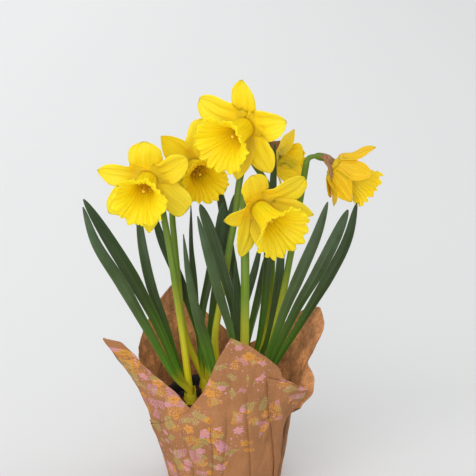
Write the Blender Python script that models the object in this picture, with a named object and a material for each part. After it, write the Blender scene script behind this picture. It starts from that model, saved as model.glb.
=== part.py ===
"""Potted daffodil: six trumpet daffodils grown from six bulbs in a nursery pot, in a kraft paper wrap.

The pot stands on the wrap's flat bottom. +Z is up, the front faces -Y, and the origin is the centre
of the wrap's bottom face. Every size and place below is in millimetres.
"""

import math
from typing import NamedTuple

import bmesh
import bpy
from mathutils import Matrix, Vector

MM = 0.001
GAP = 0.3
SHARP_DEGREES = 40.0

# Nursery pot
POT_SIDES = 28
POT_BASE_R = 51.0
POT_RIM_R = 65.0
POT_WALL = 1.3
POT_HEIGHT = 108.0
RIM_BAND = 8.0
RIM_LIP = 2.0
RIM_STEP = 1.5
DRAIN_HOLES = 4
DRAIN_R = 4.0
DRAIN_RING_R = 32.0

# Paper wrap
PAPER = 0.9
WRAP_FLAT_R = 54.0
# The wrap's body under its free edge: radius and height, from the bottom corner to the collar.
WRAP_BODY = [(59.5, 4.0), (63.5, 24.0), (68.0, 46.0), (72.0, 66.0), (77.5, 90.0)]
COLLAR_SHIFT = 4.5
WRAP_FLARE_ROWS = 3
PLEATS = 15
PLEAT_DEPTH = 1.3
COLUMN_DEGREES = 7.0
# The wrap's upper edge, anticlockwise from +X: bearing in degrees, distance from the axis, height.
WRAP_EDGE = [
    (0, 90, 144), (6, 109, 185), (13, 107, 197), (22, 102, 195), (36, 89, 176), (50, 76, 154),
    (67, 71, 141), (84, 72, 150), (98, 74, 166), (112, 78, 185), (124, 84, 208), (132, 87, 211),
    (143, 88, 200), (156, 91, 180), (168, 94, 164), (177, 92, 148), (184, 88, 120), (190, 112, 150),
    (195, 132, 180), (199, 111, 173), (202, 99, 158), (207, 93, 153), (216, 85, 145), (228, 77, 133),
    (241, 72, 117), (252, 77, 136), (258, 79, 151), (265, 82, 175), (275, 81, 201), (284, 82, 195),
    (292, 83, 188), (302, 85, 176), (311, 87, 164), (313.5, 88, 151), (329, 98, 134), (337, 83, 102),
    (344, 90, 100), (352, 97, 114), (356, 97, 128),
]

# Soil and bulbs
SOIL_Z = 97.0
SOIL_CROWN = 2.5
BULB_SIDES = 10
BULB_FOOT_Z = 62.0
# A bulb's outline from its base plate to its neck: radius, height above the foot.
BULB_OUTLINE = [(7.0, 0.0), (13.0, 5.0), (16.0, 14.0), (14.5, 24.0), (10.5, 34.0), (9.5, 42.0)]
BULB_NECK_Z = BULB_FOOT_Z + BULB_OUTLINE[-1][1]
# Leaves and scapes start this far above their bulb's neck
FOOT_GAP = 0.4

# Leaves
LEAF_THICK = 1.1
LEAF_CELLS = 9
LEAF_BASE_SHARE = 0.6
LEAF_TIP_SHARE = 0.28
# A higher value keeps a leaf broad for longer and makes its end blunter
LEAF_BLUNT = 4.4
LEAF_CHANNEL = 0.13
LEAF_UPRIGHT = 12.0

# Scapes: the leafless flower stems, each with its ovary at the end
FINE_STEPS = 12
SCAPE_TOP_SHARE = 0.85
PEDICEL_R = 2.3
OVARY_R = 4.2
OVARY_LONG = 11.0
# Between a stem's end and its flower's tube
STEM_GAP = 0.6
# The ovary's outline: share of its length from the back, share of its radius.
OVARY_OUTLINE = [(0.0, 0.55), (0.3, 0.9), (0.6, 1.0), (1.0, 0.75)]
SCAPE_UPRIGHT = 4.0
SCAPE_STEPS = 9
NECK_STEPS = 4
SPATHE_THICK = 0.7
SPATHE_SLACK = 1.3
SPATHE_CELLS = (2, 5)

# Flowers, each in its own frame: the flower looks along its +Z, and its petals spread about its origin
TUBE_LONG = 15.0
TUBE_BACK_R = 3.4
TUBE_FACE_R = 9.6
TUBE_FACE_Z = 1.3
TUBE_SIDES = 12
PETAL_THICK = 0.75
PETAL_LONG = 50.0
PETAL_WIDE = 32.0
PETAL_ROOT_R = 3.0
PETAL_FLAT = 9.5
PETAL_TIP_SHARE = 0.12
PETAL_CELLS = (3, 5)
TRUMPET_SIDES = 24
TRUMPET_BASE_R = 9.2
TRUMPET_SWELL = 3.5
TRUMPET_WALL = 0.75
TRUMPET_RINGS = 4
TRUMPET_FLOOR_Z = TUBE_FACE_Z + GAP + TRUMPET_WALL / 2
FRILL = 1.7
STAMENS = 6
STAMEN_RING_R = 4.2
STAMEN_R = 0.7
STAMEN_LONG = 17.0
STYLE_R = 1.0
STYLE_LONG = 24.0
NECK_DROP = 9.0

# Where each bulb's neck is, from the pot's axis
BULBS = {
    "left": (-37, -6),
    "middle": (-4, -3),
    "front": (17, -33),
    "right": (38, 2),
    "back": (15, 33),
    "rear_left": (-21, 30),
}


class Petal(NamedTuple):
    """How a petal stands: degrees forward and about the axis, and its length and width as shares."""

    lean: float
    turn: float = 0.0
    long: float = 1.0
    wide: float = 1.0


class Flower(NamedTuple):
    """A flower's place and the way that it looks, its parts, and the stem that carries it."""

    place: tuple
    axis: tuple
    tail: tuple  # the way that its ovary looks
    turn: float  # degrees about the axis
    size: float  # against the standard flower
    trumpet_long: float
    mouth_r: float
    stem_r: float
    reach: float  # how far its bent neck stands out from the upright scape
    petals: tuple  # the top one first, anticlockwise as seen from the front
    points: list  # that the scape runs through on its way up


FLOWERS = {
    "left": Flower(
        (-77, -25, 353), (-0.134, -0.947, -0.293), (-0.134, -0.947, -0.293), 5, 1.02, 45, 26.5, 3.9, 9,
        (Petal(20, -4, 1, 1.08), Petal(4, 10, 1.04, 0.9), Petal(26, 5, 1.1), Petal(26, -2, 1.12, 0.9),
         Petal(12, -11, 1.07, 1.05), Petal(-2, -3)),
        [(-42.5, -11, 165), (-49, -14, 219), (-55, -13, 265), (-62, -8, 305)]),
    "rear_left": Flower(
        (-32, 35, 352), (0.3, -0.943, -0.145), (0.3, -0.943, -0.145), -12, 0.97, 45, 25, 3.6, 9,
        (Petal(-8, 0, 1.05), Petal(1, -2, 1.03), Petal(0), Petal(-10, 0, 0.95), Petal(0), Petal(0)),
        [(-42.5, 27, 165), (-49, 30, 215), (-53, 35, 262), (-56, 44, 300), (-51, 58, 332)]),
    "middle": Flower(
        (23, -8, 404), (-0.511, -0.828, -0.231), (-0.511, -0.828, -0.231), -4, 1.1, 45, 27, 3.8, 5,
        (Petal(14, -3, 1, 0.8), Petal(12, 2, 1.05, 1.15), Petal(14, 0, 0.95), Petal(24, -3, 1.04, 0.9),
         Petal(18, -20), Petal(8, -11, 1, 1.1)),
        [(-10, -3, 165), (-6, -3, 200), (0, -2, 235), (5, 1, 268), (12, 7, 305), (17, 14, 345),
         (26, 19, 375)]),
    "front": Flower(
        (35, -42, 327.5), (0.514, -0.775, -0.368), (0.2, -0.95, -0.25), 22, 1.05, 45, 28, 4.8, 3,
        (Petal(13, 0, 1, 0.9), Petal(16, 6, 1, 0.7), Petal(24, 15, 1.04, 0.8), Petal(30, -6, 0.95),
         Petal(36, 8, 1.1), Petal(17, -9, 1.07, 0.8)),
        [(21, -33, 165), (22, -32, 225), (22, -27, 271)]),
    "back": Flower(
        (56, 45, 356.5), (0.919, 0.337, -0.204), (0.919, 0.337, -0.204), 0, 0.85, 30, 17, 3.6, 1,
        (Petal(9, 27, 1, 0.9), Petal(22, 3, 0.96, 1.1), Petal(30, -18, 0.97, 1.1), Petal(33, 30),
         Petal(35, 20), Petal(30, 15)),
        [(44, 32, 160), (50, 31, 205), (51.5, 30, 250), (50, 31, 295), (48, 33, 320), (45, 35, 339)]),
    "right": Flower(
        (115, 4, 360), (0.8, 0.145, -0.583), (0.96, -0.05, 0.15), -5, 0.9, 49, 23, 3.8, 9,
        (Petal(37, 17, 1.07, 0.75), Petal(43, 11, 1.07, 0.9), Petal(53, 12, 1.06), Petal(43, 10, 1.04),
         Petal(45, -20), Petal(45)),
        [(50.5, 6, 160), (58.5, 10, 195), (65.5, 12, 232), (73, 13, 275), (80, 14, 320)]),
}


class Leaf(NamedTuple):
    """A strap leaf: the bulb it grows from, and the points that it runs through from the neck up."""

    bulb: str
    offset: tuple  # of its foot from the middle of the neck
    width: float
    low_face: tuple  # the way that its face looks low down
    tip_face: tuple  # and at its tip
    points: list
    taper: float = 0.6  # the share of its length where it starts to narrow


LEAVES = {
    "left_1": Leaf("left", (-1, -8), 14.0, (0.1, -1, 0), (-0.5, -0.85, 0.2),
                   [(-54, -18, 137), (-77, -22, 184), (-105, -26, 240), (-130, -31, 285),
                    (-143, -36, 326)]),
    "left_2": Leaf("left", (-1, -5.4), 14.5, (0.1, -1, 0), (0.1, -1, 0.1),
                   [(-49, -12, 135), (-68, -12, 186), (-94, -13, 240), (-121, -16, 289),
                    (-144, -20, 330)]),
    "left_3": Leaf("left", (0, 5.8), 11.0, (0.2, -1, 0), (0.4, -0.9, 0),
                   [(-48, 3, 135), (-64, 6, 186), (-78, 8, 227), (-86.5, 9, 270), (-91, 12, 314)]),
    "rear_left_1": Leaf("rear_left", (-1, 6.4), 11.5, (0.2, -1, 0), (0.6, -0.8, 0),
                        [(-21, 38, 130), (-33, 38, 177), (-49, 38, 224), (-68, 43, 268), (-79, 50, 305)]),
    "rear_left_2": Leaf("rear_left", (-2, -7.8), 10.0, (0.3, -1, 0), (1, -0.35, 0),
                        [(-26, 20, 133), (-30, 19, 178), (-33, 19, 223), (-36, 18, 268), (-35, 19, 314)]),
    "rear_left_3": Leaf("rear_left", (2, -5.4), 13.0, (0.0, -1, 0), (-0.4, -1, 0),
                        [(-17, 24, 147), (-11, 24, 199), (-3, 25, 245), (6, 27, 290), (11, 31, 322)]),
    "middle_1": Leaf("middle", (-2, -7.8), 12.5, (0.1, -1, 0), (-0.7, -0.8, 0),
                     [(-11, -16, 142), (-19, -24, 177), (-27, -30, 209), (-35, -35, 249), (-41, -39, 298)],
                     0.35),
    "middle_2": Leaf("middle", (-4, 6.6), 12.0, (0.1, -1, 0), (0.3, -1, 0),
                     [(-17, 7, 134), (-25, 9, 186), (-15.5, 11, 240), (-5.5, 11, 283), (-0.5, 11, 319)],
                     0.78),
    "middle_3": Leaf("middle", (5, 5.2), 8.5, (-0.2, -1, 0), (-0.3, -1, 0),
                     [(5, 8, 140), (13, 9, 175), (23, 8, 211), (32.5, 7, 245), (39, 6, 276)]),
    "front_1": Leaf("front", (-4, -6.4), 10.0, (0.8, -0.6, 0), (-0.4, -1, 0),
                    [(13, -42, 150), (7, -44, 193), (-5.5, -47, 240), (-17, -50, 285), (-26, -53, 321)]),
    "front_2": Leaf("front", (-6, 5.2), 8.5, (0.4, -1, 0), (0.8, -0.8, 0),
                    [(12, -25, 150), (12, -24, 185), (12, -23, 215), (12, -24, 240), (12.5, -25, 267)]),
    "front_3": Leaf("front", (1, 8.4), 12.0, (0.1, -1, 0), (0.3, -1, 0),
                    [(16, -19, 150), (11, -17, 200), (2, -17, 240), (-11, -15, 285), (-24.5, -13, 323)],
                    0.78),
    "right_1": Leaf("right", (-2, -7.6), 12.5, (-0.2, -1, 0), (-0.4, -1, 0),
                    [(46, -6, 150), (64, -9, 205), (82, -10, 251), (97, -8, 288), (108, -4, 323)]),
    "right_2": Leaf("right", (2, -5.6), 13.5, (-0.4, -1, 0), (-0.3, -1, 0.1),
                    [(53, -3, 150), (77, -3, 205), (99, -1, 245), (115.5, 3, 278), (130, 6, 312)],
                    0.7),
    "right_3": Leaf("right", (5, 5.8), 12.0, (-0.3, -1, 0), (-0.2, -1, 0),
                    [(60, 14, 145), (89, 20, 193), (116, 24, 240), (132, 26, 275), (141, 28, 314)]),
    "back_1": Leaf("back", (3, -6.8), 11.5, (-0.1, -1, 0), (0.7, -0.8, 0),
                   [(34, 18, 150), (42, 14, 200), (46, 13, 256), (50, 14, 320), (53, 15, 380)]),
    "back_2": Leaf("back", (5, -4.6), 10.0, (0.3, -1, 0), (0.1, -1, 0),
                   [(42, 23, 150), (53, 20, 195), (58, 17, 230), (60, 14, 260), (60, 12, 290)]),
    "back_3": Leaf("back", (-3, 5.8), 12.5, (0.2, 1, 0), (0.3, 1, 0),
                   [(14, 45, 150), (14, 50, 200), (5, 53, 250), (-2, 55, 300), (-10, 56, 338)]),
    "back_4": Leaf("back", (3, 7.4), 12.5, (-0.2, 1, 0), (-0.4, 1, 0),
                   [(26, 48, 150), (38, 53, 200), (50, 57, 245), (66, 60, 285), (83, 61, 318)]),
}

COLOURS = {
    "pot": ((0.02, 0.02, 0.022), 0.45),
    "soil": ((0.035, 0.022, 0.014), 0.95),
    "paper": ((0.50, 0.28, 0.15), 0.85),
    "bulb": ((0.28, 0.14, 0.06), 0.7),
    "leaf": ((0.07, 0.16, 0.05), 0.5),
    "stem": ((0.18, 0.32, 0.04), 0.45),
    "spathe": ((0.36, 0.22, 0.12), 0.8),
    "petal": ((0.90, 0.62, 0.02), 0.55),
    "trumpet": ((0.92, 0.50, 0.005), 0.55),
}


def clear_scene():
    for obj in list(bpy.data.objects):
        bpy.data.objects.remove(obj)


def material(kind):
    """The one material of each kind of piece."""
    found = bpy.data.materials.get(kind)
    if found:
        return found
    made = bpy.data.materials.new(kind)
    made.use_nodes = True
    surface = made.node_tree.nodes["Principled BSDF"]
    colour, roughness = COLOURS[kind]
    surface.inputs["Base Color"].default_value = (*colour, 1)
    surface.inputs["Roughness"].default_value = roughness
    surface.inputs["Metallic"].default_value = 0
    return made


def add_object(name, bm, kind):
    """Turns a bmesh in millimetres into an object in metres, shaded smooth."""
    bmesh.ops.scale(bm, vec=(MM, MM, MM), verts=bm.verts)
    mesh = bpy.data.meshes.new(name)
    bm.to_mesh(mesh)
    bm.free()
    mesh.materials.append(material(kind))
    mesh.shade_smooth()
    obj = bpy.data.objects.new(name, mesh)
    bpy.context.scene.collection.objects.link(obj)
    return obj


def solidify(obj, thickness):
    """Gives a sheet its thickness, half to each side."""
    modifier = obj.modifiers.new("Thickness", "SOLIDIFY")
    modifier.thickness = thickness * MM
    modifier.offset = 0
    modifier.use_even_offset = False


def join(obj, others, operation="UNION", solver="EXACT"):
    """One applied Boolean of obj with the others, which are then removed."""
    group = bpy.data.collections.new("joined")
    bpy.context.scene.collection.children.link(group)
    for other in others:
        bpy.context.scene.collection.objects.unlink(other)
        group.objects.link(other)
    modifier = obj.modifiers.new("Join", "BOOLEAN")
    modifier.operand_type = "COLLECTION"
    modifier.collection = group
    modifier.operation = operation
    modifier.solver = solver
    graph = bpy.context.evaluated_depsgraph_get()
    fused = bpy.data.meshes.new_from_object(obj.evaluated_get(graph))
    obj.modifiers.clear()
    obj.data = fused
    for other in others:
        bpy.data.objects.remove(other)
    bpy.data.collections.remove(group)
    fused.name = obj.name
    fused.shade_smooth()
    fused.set_sharp_from_angle(angle=math.radians(SHARP_DEGREES))
    return obj


def turned(outline, sides, centre=(0, 0, 0)):
    """A bmesh of revolution: outline is radius and height, from the axis round to the axis again."""
    bm = bmesh.new()
    x, y, z = centre
    verts = [bm.verts.new((x + r, y, z + h)) for r, h in outline]
    edges = [bm.edges.new(pair) for pair in zip(verts, verts[1:])]
    bmesh.ops.spin(
        bm, geom=verts + edges, cent=centre, axis=(0, 0, 1), angle=math.tau, steps=sides, use_merge=True
    )
    bmesh.ops.remove_doubles(bm, verts=bm.verts, dist=0.001)
    bmesh.ops.recalc_face_normals(bm, faces=bm.faces)
    return bm


def smooth_route(points, count):
    """Points along a smooth curve through the given ones, evenly spaced in length."""
    knots = [Vector(p) for p in points]
    knots = [knots[0] * 2 - knots[1]] + knots + [knots[-1] * 2 - knots[-2]]
    fine = []
    for a, b, c, d in zip(knots, knots[1:], knots[2:], knots[3:]):
        for i in range(FINE_STEPS):
            t = i / FINE_STEPS
            fine.append(
                0.5 * (2 * b + (c - a) * t + (2 * a - 5 * b + 4 * c - d) * t**2
                       + (3 * b - a - 3 * c + d) * t**3)
            )
    fine.append(knots[-2])
    along = [0.0]
    for a, b in zip(fine, fine[1:]):
        along.append(along[-1] + (b - a).length)
    route = []
    k = 0
    for i in range(count + 1):
        want = along[-1] * i / count
        while k < len(fine) - 2 and along[k + 1] < want:
            k += 1
        share = (want - along[k]) / max(along[k + 1] - along[k], 1e-9)
        route.append(fine[k].lerp(fine[k + 1], share))
    return route


def tangent_at(route, i):
    return (route[min(i + 1, len(route) - 1)] - route[max(i - 1, 0)]).normalized()


def sheet(across, along, place):
    """A grid of cells whose points place(u, t) puts; u is from -1 to 1 across and t from 0 to 1 along."""
    bm = bmesh.new()
    bmesh.ops.create_grid(bm, x_segments=across, y_segments=along, size=1)
    for vert in bm.verts:
        vert.co = place(vert.co.x, (vert.co.y + 1) / 2)
    return bm


def build_pot():
    """A thin tapered cup with a stepped rim band and drain holes in its base."""
    floor = PAPER + GAP
    inner_base = POT_BASE_R - POT_WALL
    band_r = POT_RIM_R - RIM_LIP
    outline = [
        (0, floor), (POT_BASE_R, floor), (band_r - RIM_STEP, POT_HEIGHT - RIM_BAND),
        (POT_RIM_R, POT_HEIGHT - RIM_BAND), (POT_RIM_R, POT_HEIGHT),
        (band_r - POT_WALL, POT_HEIGHT),
        (band_r - POT_WALL - RIM_STEP, POT_HEIGHT - RIM_BAND - POT_WALL),
        (inner_base, floor + POT_WALL), (0, floor + POT_WALL),
    ]
    pot = add_object("pot", turned(outline, POT_SIDES), "pot")
    holes = []
    for i in range(DRAIN_HOLES):
        angle = math.tau * (i + 0.5) / DRAIN_HOLES
        centre = Vector((DRAIN_RING_R * math.cos(angle), DRAIN_RING_R * math.sin(angle), floor))
        bm = bmesh.new()
        bmesh.ops.create_cone(
            bm, cap_ends=True, segments=10, radius1=DRAIN_R, radius2=DRAIN_R,
            depth=4 * POT_WALL, matrix=Matrix.Translation(centre)
        )
        holes.append(add_object(f"hole_{i}", bm, "pot"))
    join(pot, holes, "DIFFERENCE")


def bulb_bm(centre, grow=0.0):
    """A bulb's solid, or with grow the pocket round it, which runs on up through the soil."""
    outline = [(0, -grow)] + [(r + grow, h if h else -grow) for r, h in BULB_OUTLINE]
    if grow:
        outline.append((outline[-1][0], 2 * BULB_OUTLINE[-1][1]))
    outline.append((0, outline[-1][1]))
    return turned(outline, BULB_SIDES, (*centre, BULB_FOOT_Z))


def build_bulbs():
    for name, centre in BULBS.items():
        add_object(f"bulb_{name}", bulb_bm(centre), "bulb")


def build_soil():
    """The potting soil: it fills the pot to just below the rim, with a pocket for each bulb."""
    floor = PAPER + GAP + POT_WALL + GAP
    inner_top = POT_RIM_R - RIM_LIP - POT_WALL - RIM_STEP
    inner_base = POT_BASE_R - POT_WALL
    slope = (inner_top - inner_base) / (POT_HEIGHT - RIM_BAND - 2 * POT_WALL - PAPER - GAP)
    edge_r = inner_base + slope * (SOIL_Z - floor) - 2 * GAP
    outline = [
        (0, floor), (inner_base - 2 * GAP, floor), (edge_r, SOIL_Z),
        (edge_r * 0.8, SOIL_Z + SOIL_CROWN * 0.6), (edge_r * 0.4, SOIL_Z + SOIL_CROWN),
        (0, SOIL_Z + SOIL_CROWN),
    ]
    soil = add_object("soil", turned(outline, POT_SIDES), "soil")
    pockets = [add_object(f"pocket_{n}", bulb_bm(c, grow=GAP), "soil") for n, c in BULBS.items()]
    join(soil, pockets, "DIFFERENCE")


def eased(share):
    return share * share * (3 - 2 * share)


def wrap_bearings():
    """The bearings of the wrap's columns: every corner of its edge, and even steps between them."""
    bearings = []
    corners = [b for b, _, _ in WRAP_EDGE] + [WRAP_EDGE[0][0] + 360]
    for a, b in zip(corners, corners[1:]):
        steps = max(1, round((b - a) / COLUMN_DEGREES))
        bearings += [a + (b - a) * i / steps for i in range(steps)]
    return bearings


def wrap_edge(bearing):
    """Distance from the axis and height of the wrap's upper edge at a bearing in degrees."""
    ring = WRAP_EDGE + [(WRAP_EDGE[0][0] + 360, *WRAP_EDGE[0][1:])]
    for (a, r0, z0), (b, r1, z1) in zip(ring, ring[1:]):
        if a <= bearing <= b:
            share = (bearing - a) / (b - a)
            return r0 + (r1 - r0) * share, z0 + (z1 - z0) * share
    raise ValueError(bearing)


def wrap_column(bearing):
    """The points up one column of the wrap, from its flat bottom's rim to its free edge."""
    turn = math.radians(bearing)
    pleat = PLEAT_DEPTH * math.sin(PLEATS * turn + 1.1 * math.sin(3 * turn))
    profile = [(WRAP_FLAT_R, PAPER / 2)]
    for i, (r, z) in enumerate(WRAP_BODY):
        rise = i / (len(WRAP_BODY) - 1)
        profile.append((r + pleat * eased(rise) - COLLAR_SHIFT * rise**2 * math.cos(turn), z))
    collar_r, collar_z = profile[-1]
    edge_r, edge_z = wrap_edge(bearing)
    for i in range(1, WRAP_FLARE_ROWS + 1):
        share = i / WRAP_FLARE_ROWS
        r = collar_r + (edge_r - collar_r) * share**1.35
        profile.append((r, collar_z + (edge_z - collar_z) * share))
    return [Vector((r * math.cos(turn), r * math.sin(turn), z)) for r, z in profile]


def build_wrap():
    """One sheet of paper under the pot and up round it, pleated, with its corners standing out."""
    columns = [wrap_column(bearing) for bearing in wrap_bearings()]
    bm = bmesh.new()
    rings = [[bm.verts.new(column[row]) for column in columns] for row in range(len(columns[0]))]
    bm.faces.new(rings[0])
    edges = [[bm.edges.get((a, b)) or bm.edges.new((a, b)) for a, b in zip(ring, ring[1:] + ring[:1])]
             for ring in rings]
    for lower, upper in zip(edges, edges[1:]):
        bmesh.ops.bridge_loops(bm, edges=lower + upper)
    bmesh.ops.recalc_face_normals(bm, faces=bm.faces)
    wrap = add_object("paper_wrap", bm, "paper")
    solidify(wrap, PAPER)


def leaf_width(leaf, t):
    """A leaf's width at a share of its length, against its full width."""
    grown = LEAF_BASE_SHARE + (1 - LEAF_BASE_SHARE) * eased(min(t / leaf.taper, 1))
    drawn_in = max(0.0, (t - leaf.taper) / (1 - leaf.taper))
    return max(LEAF_TIP_SHARE, grown * (1 - drawn_in ** (LEAF_BLUNT * leaf.taper)) ** 0.6)


def build_leaf(name, leaf):
    """One strap leaf, channelled along its middle, standing on its bulb's neck."""
    x, y = BULBS[leaf.bulb]
    root = Vector((x + leaf.offset[0], y + leaf.offset[1], BULB_NECK_Z + FOOT_GAP))
    route = smooth_route([root, root + Vector((0, 0, LEAF_UPRIGHT))] + leaf.points, LEAF_CELLS)

    def place(u, t):
        i = round(t * LEAF_CELLS)
        along = tangent_at(route, i) if i else Vector((0, 0, 1))
        side = along.cross(Vector(leaf.low_face).lerp(Vector(leaf.tip_face), t)).normalized()
        face = side.cross(along)
        half = leaf.width * leaf_width(leaf, t) / 2
        sunk = LEAF_CHANNEL * leaf.width * eased(min(t / 0.3, 1)) * (1 - t**3)
        return route[i] + side * (u * half) + face * (sunk * (abs(u) - 0.5))

    blade = add_object(f"leaf_{name}", sheet(2, LEAF_CELLS, place), "leaf")
    solidify(blade, LEAF_THICK)


def flower_frame(flower):
    """The matrix that takes a flower's own frame to the part's."""
    return (
        Matrix.Translation(flower.place)
        @ Vector(flower.axis).to_track_quat("Z", "Y").to_matrix().to_4x4()
        @ Matrix.Rotation(math.radians(flower.turn), 4, "Z")
        @ Matrix.Scale(flower.size, 4)
    )


def petal_width(s):
    """A petal's width at a share of its length, against its full width."""
    grown = 0.28 + 0.72 * math.sin(math.pi / 2 * min(1, s / 0.58))
    taper = min(1.0, max(0.0, (s - 0.58) / 0.42))
    return max(PETAL_TIP_SHARE, grown * (1 - taper**2.0) ** 0.65)


def petal_bm(index, petal):
    """One petal with a blunt point. The outer three lie flat behind the cupped inner three."""
    outer = index % 2 == 0
    wide = PETAL_WIDE * petal.wide * (1.0 if outer else 0.9)
    lift = -0.7 if outer else 0.5
    slope = math.radians(petal.lean + (0 if outer else 4))
    cupped = -0.02 if outer else 0.16
    spin = Matrix.Rotation(math.radians(60 * index + 90 + petal.turn), 3, "Z")

    def place(u, s):
        run = (PETAL_LONG * petal.long - PETAL_ROOT_R) * s
        raised = max(0, run - PETAL_FLAT)
        r = PETAL_ROOT_R + run - raised * (1 - math.cos(slope))
        half = wide * petal_width(s) / 2
        out = eased(min(1, raised / 12))
        bow = 1.8 * math.sin(math.pi * min(1, raised / 34))
        height = lift + raised * math.sin(slope) + (bow + cupped * half * u * u) * out
        return spin @ Vector((r, u * half, height))

    return sheet(*PETAL_CELLS, place)


def build_petals(name, flower):
    """A flower's tube and its six petals, grown together."""
    frame = flower_frame(flower)
    outline = [
        (0, -TUBE_LONG), (TUBE_BACK_R, -TUBE_LONG), (TUBE_BACK_R + 0.6, -0.5 * TUBE_LONG),
        (TUBE_FACE_R, -1.0), (TUBE_FACE_R, TUBE_FACE_Z), (0, TUBE_FACE_Z),
    ]
    bm = turned(outline, TUBE_SIDES)
    bm.transform(frame)
    tube = add_object(f"petals_{name}", bm, "petal")
    petals = []
    for i, petal in enumerate(flower.petals):
        bm = petal_bm(i, petal)
        bm.transform(frame)
        blade = add_object(f"petal_{i}", bm, "petal")
        solidify(blade, PETAL_THICK)
        petals.append(blade)
    join(tube, petals)


def trumpet_point(flower, angle, h):
    """A point on the trumpet's wall: a narrow cup that flares to a frilled, toothed mouth."""
    flare = TRUMPET_SWELL * h + (flower.mouth_r - TRUMPET_BASE_R - TRUMPET_SWELL) * h**4
    ruffle = FRILL * h**4 * math.cos(6 * angle) + 0.5 * FRILL * h**6 * math.cos(15 * angle)
    ribs = 0.35 * math.sin(math.pi * min(1, 1.3 * h)) * math.cos(6 * angle)
    r = TRUMPET_BASE_R + flare + ruffle + ribs
    tooth = FRILL * 0.8 * h**8 * math.cos(15 * angle) - FRILL * 0.7 * h**5 * math.cos(6 * angle)
    z = TRUMPET_FLOOR_Z + flower.trumpet_long * h + tooth
    return r * math.cos(angle), r * math.sin(angle), z


def spike(centre, radius, height, sides):
    """A stamen or the style: a slim stalk that widens to its head."""
    return turned([(0, 0), (radius, 0), (radius * 1.6, height * 0.9), (0, height)], sides, centre)


def build_trumpet(name, flower):
    """A flower's corona with the six stamens and the style that stand in it."""
    frame = flower_frame(flower)
    bm = bmesh.new()
    bmesh.ops.create_circle(bm, cap_ends=True, radius=TRUMPET_BASE_R, segments=TRUMPET_SIDES)
    for vert in bm.verts:
        vert.co = trumpet_point(flower, math.atan2(vert.co.y, vert.co.x), 0)
    edges = [e for e in bm.edges if e.is_boundary]
    for ring in range(1, TRUMPET_RINGS + 1):
        h = (ring / TRUMPET_RINGS) ** 0.8
        new = bmesh.ops.extrude_edge_only(bm, edges=edges)["geom"]
        for vert in (g for g in new if isinstance(g, bmesh.types.BMVert)):
            vert.co = trumpet_point(flower, math.atan2(vert.co.y, vert.co.x), h)
        edges = [g for g in new if isinstance(g, bmesh.types.BMEdge)]
    bmesh.ops.recalc_face_normals(bm, faces=bm.faces)
    bm.transform(frame)
    trumpet = add_object(f"trumpet_{name}", bm, "trumpet")
    solidify(trumpet, TRUMPET_WALL)
    spikes = [spike((0, 0, TRUMPET_FLOOR_Z), STYLE_R, STYLE_LONG, 5)]
    for i in range(STAMENS):
        angle = math.tau * (i + 0.5) / STAMENS
        foot = (STAMEN_RING_R * math.cos(angle), STAMEN_RING_R * math.sin(angle), TRUMPET_FLOOR_Z)
        spikes.append(spike(foot, STAMEN_R, STAMEN_LONG, 4))
    heads = []
    for i, bm in enumerate(spikes):
        bm.transform(frame)
        heads.append(add_object(f"spike_{i}", bm, "trumpet"))
    join(trumpet, heads)


def stem_route(name, flower):
    """A stem in three stretches: the upright scape, the bent neck, and the ovary from back to front.

    Each stretch is a list of points with the stem's radius there.
    """
    x, y = BULBS[name]
    root = Vector((x, y, BULB_NECK_Z + FOOT_GAP))
    ahead = Vector(flower.axis).normalized()
    tail = Vector(flower.tail).normalized()
    level = Vector((ahead.x, ahead.y, 0)).normalized()
    front = Vector(flower.place) - ahead * (TUBE_LONG * flower.size + STEM_GAP)
    middle = front - ahead * OVARY_LONG / 2
    back = middle - tail * OVARY_LONG / 2
    ovary = [
        (back * (1 - t) ** 2 + middle * 2 * t * (1 - t) + front * t * t, OVARY_R * share)
        for t, share in OVARY_OUTLINE
    ]
    shoulder = back - level * flower.reach - Vector((0, 0, NECK_DROP))
    lift = root + Vector((0, 0, SCAPE_UPRIGHT))
    points = [root] + smooth_route([lift] + flower.points + [shoulder], SCAPE_STEPS)
    shrink = (1 - SCAPE_TOP_SHARE) / len(points)
    upright = [(p, flower.stem_r * (1 - shrink * i)) for i, p in enumerate(points)]
    rise = (points[-1] - points[-2]).normalized()
    pull = 0.55 * (back - shoulder).length
    neck = []
    for i in range(1, NECK_STEPS):
        t = i / NECK_STEPS
        point = (
            shoulder * (1 - t) ** 3 + (shoulder + rise * pull) * 3 * t * (1 - t) ** 2
            + (back - tail * pull) * 3 * t * t * (1 - t) + back * t**3
        )
        neck.append((point, upright[-1][1] * (1 - t) + PEDICEL_R * t))
    return upright, neck, ovary


def build_stem(name, flower):
    """The scape up from the bulb, its bent neck, and the ovary behind the flower, as one tube."""
    upright, neck, ovary = stem_route(name, flower)
    route = upright + neck + ovary
    curve = bpy.data.curves.new(f"stem_{name}", "CURVE")
    curve.dimensions = "3D"
    curve.bevel_depth = MM
    curve.bevel_resolution = 2
    curve.use_fill_caps = True
    spline = curve.splines.new("POLY")
    spline.points.add(len(route) - 1)
    for point, (p, r) in zip(spline.points, route):
        point.co = (*(p * MM), 1)
        point.radius = r
    curve.materials.append(material("stem"))
    obj = bpy.data.objects.new(f"stem_{name}", curve)
    bpy.context.scene.collection.objects.link(obj)


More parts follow.
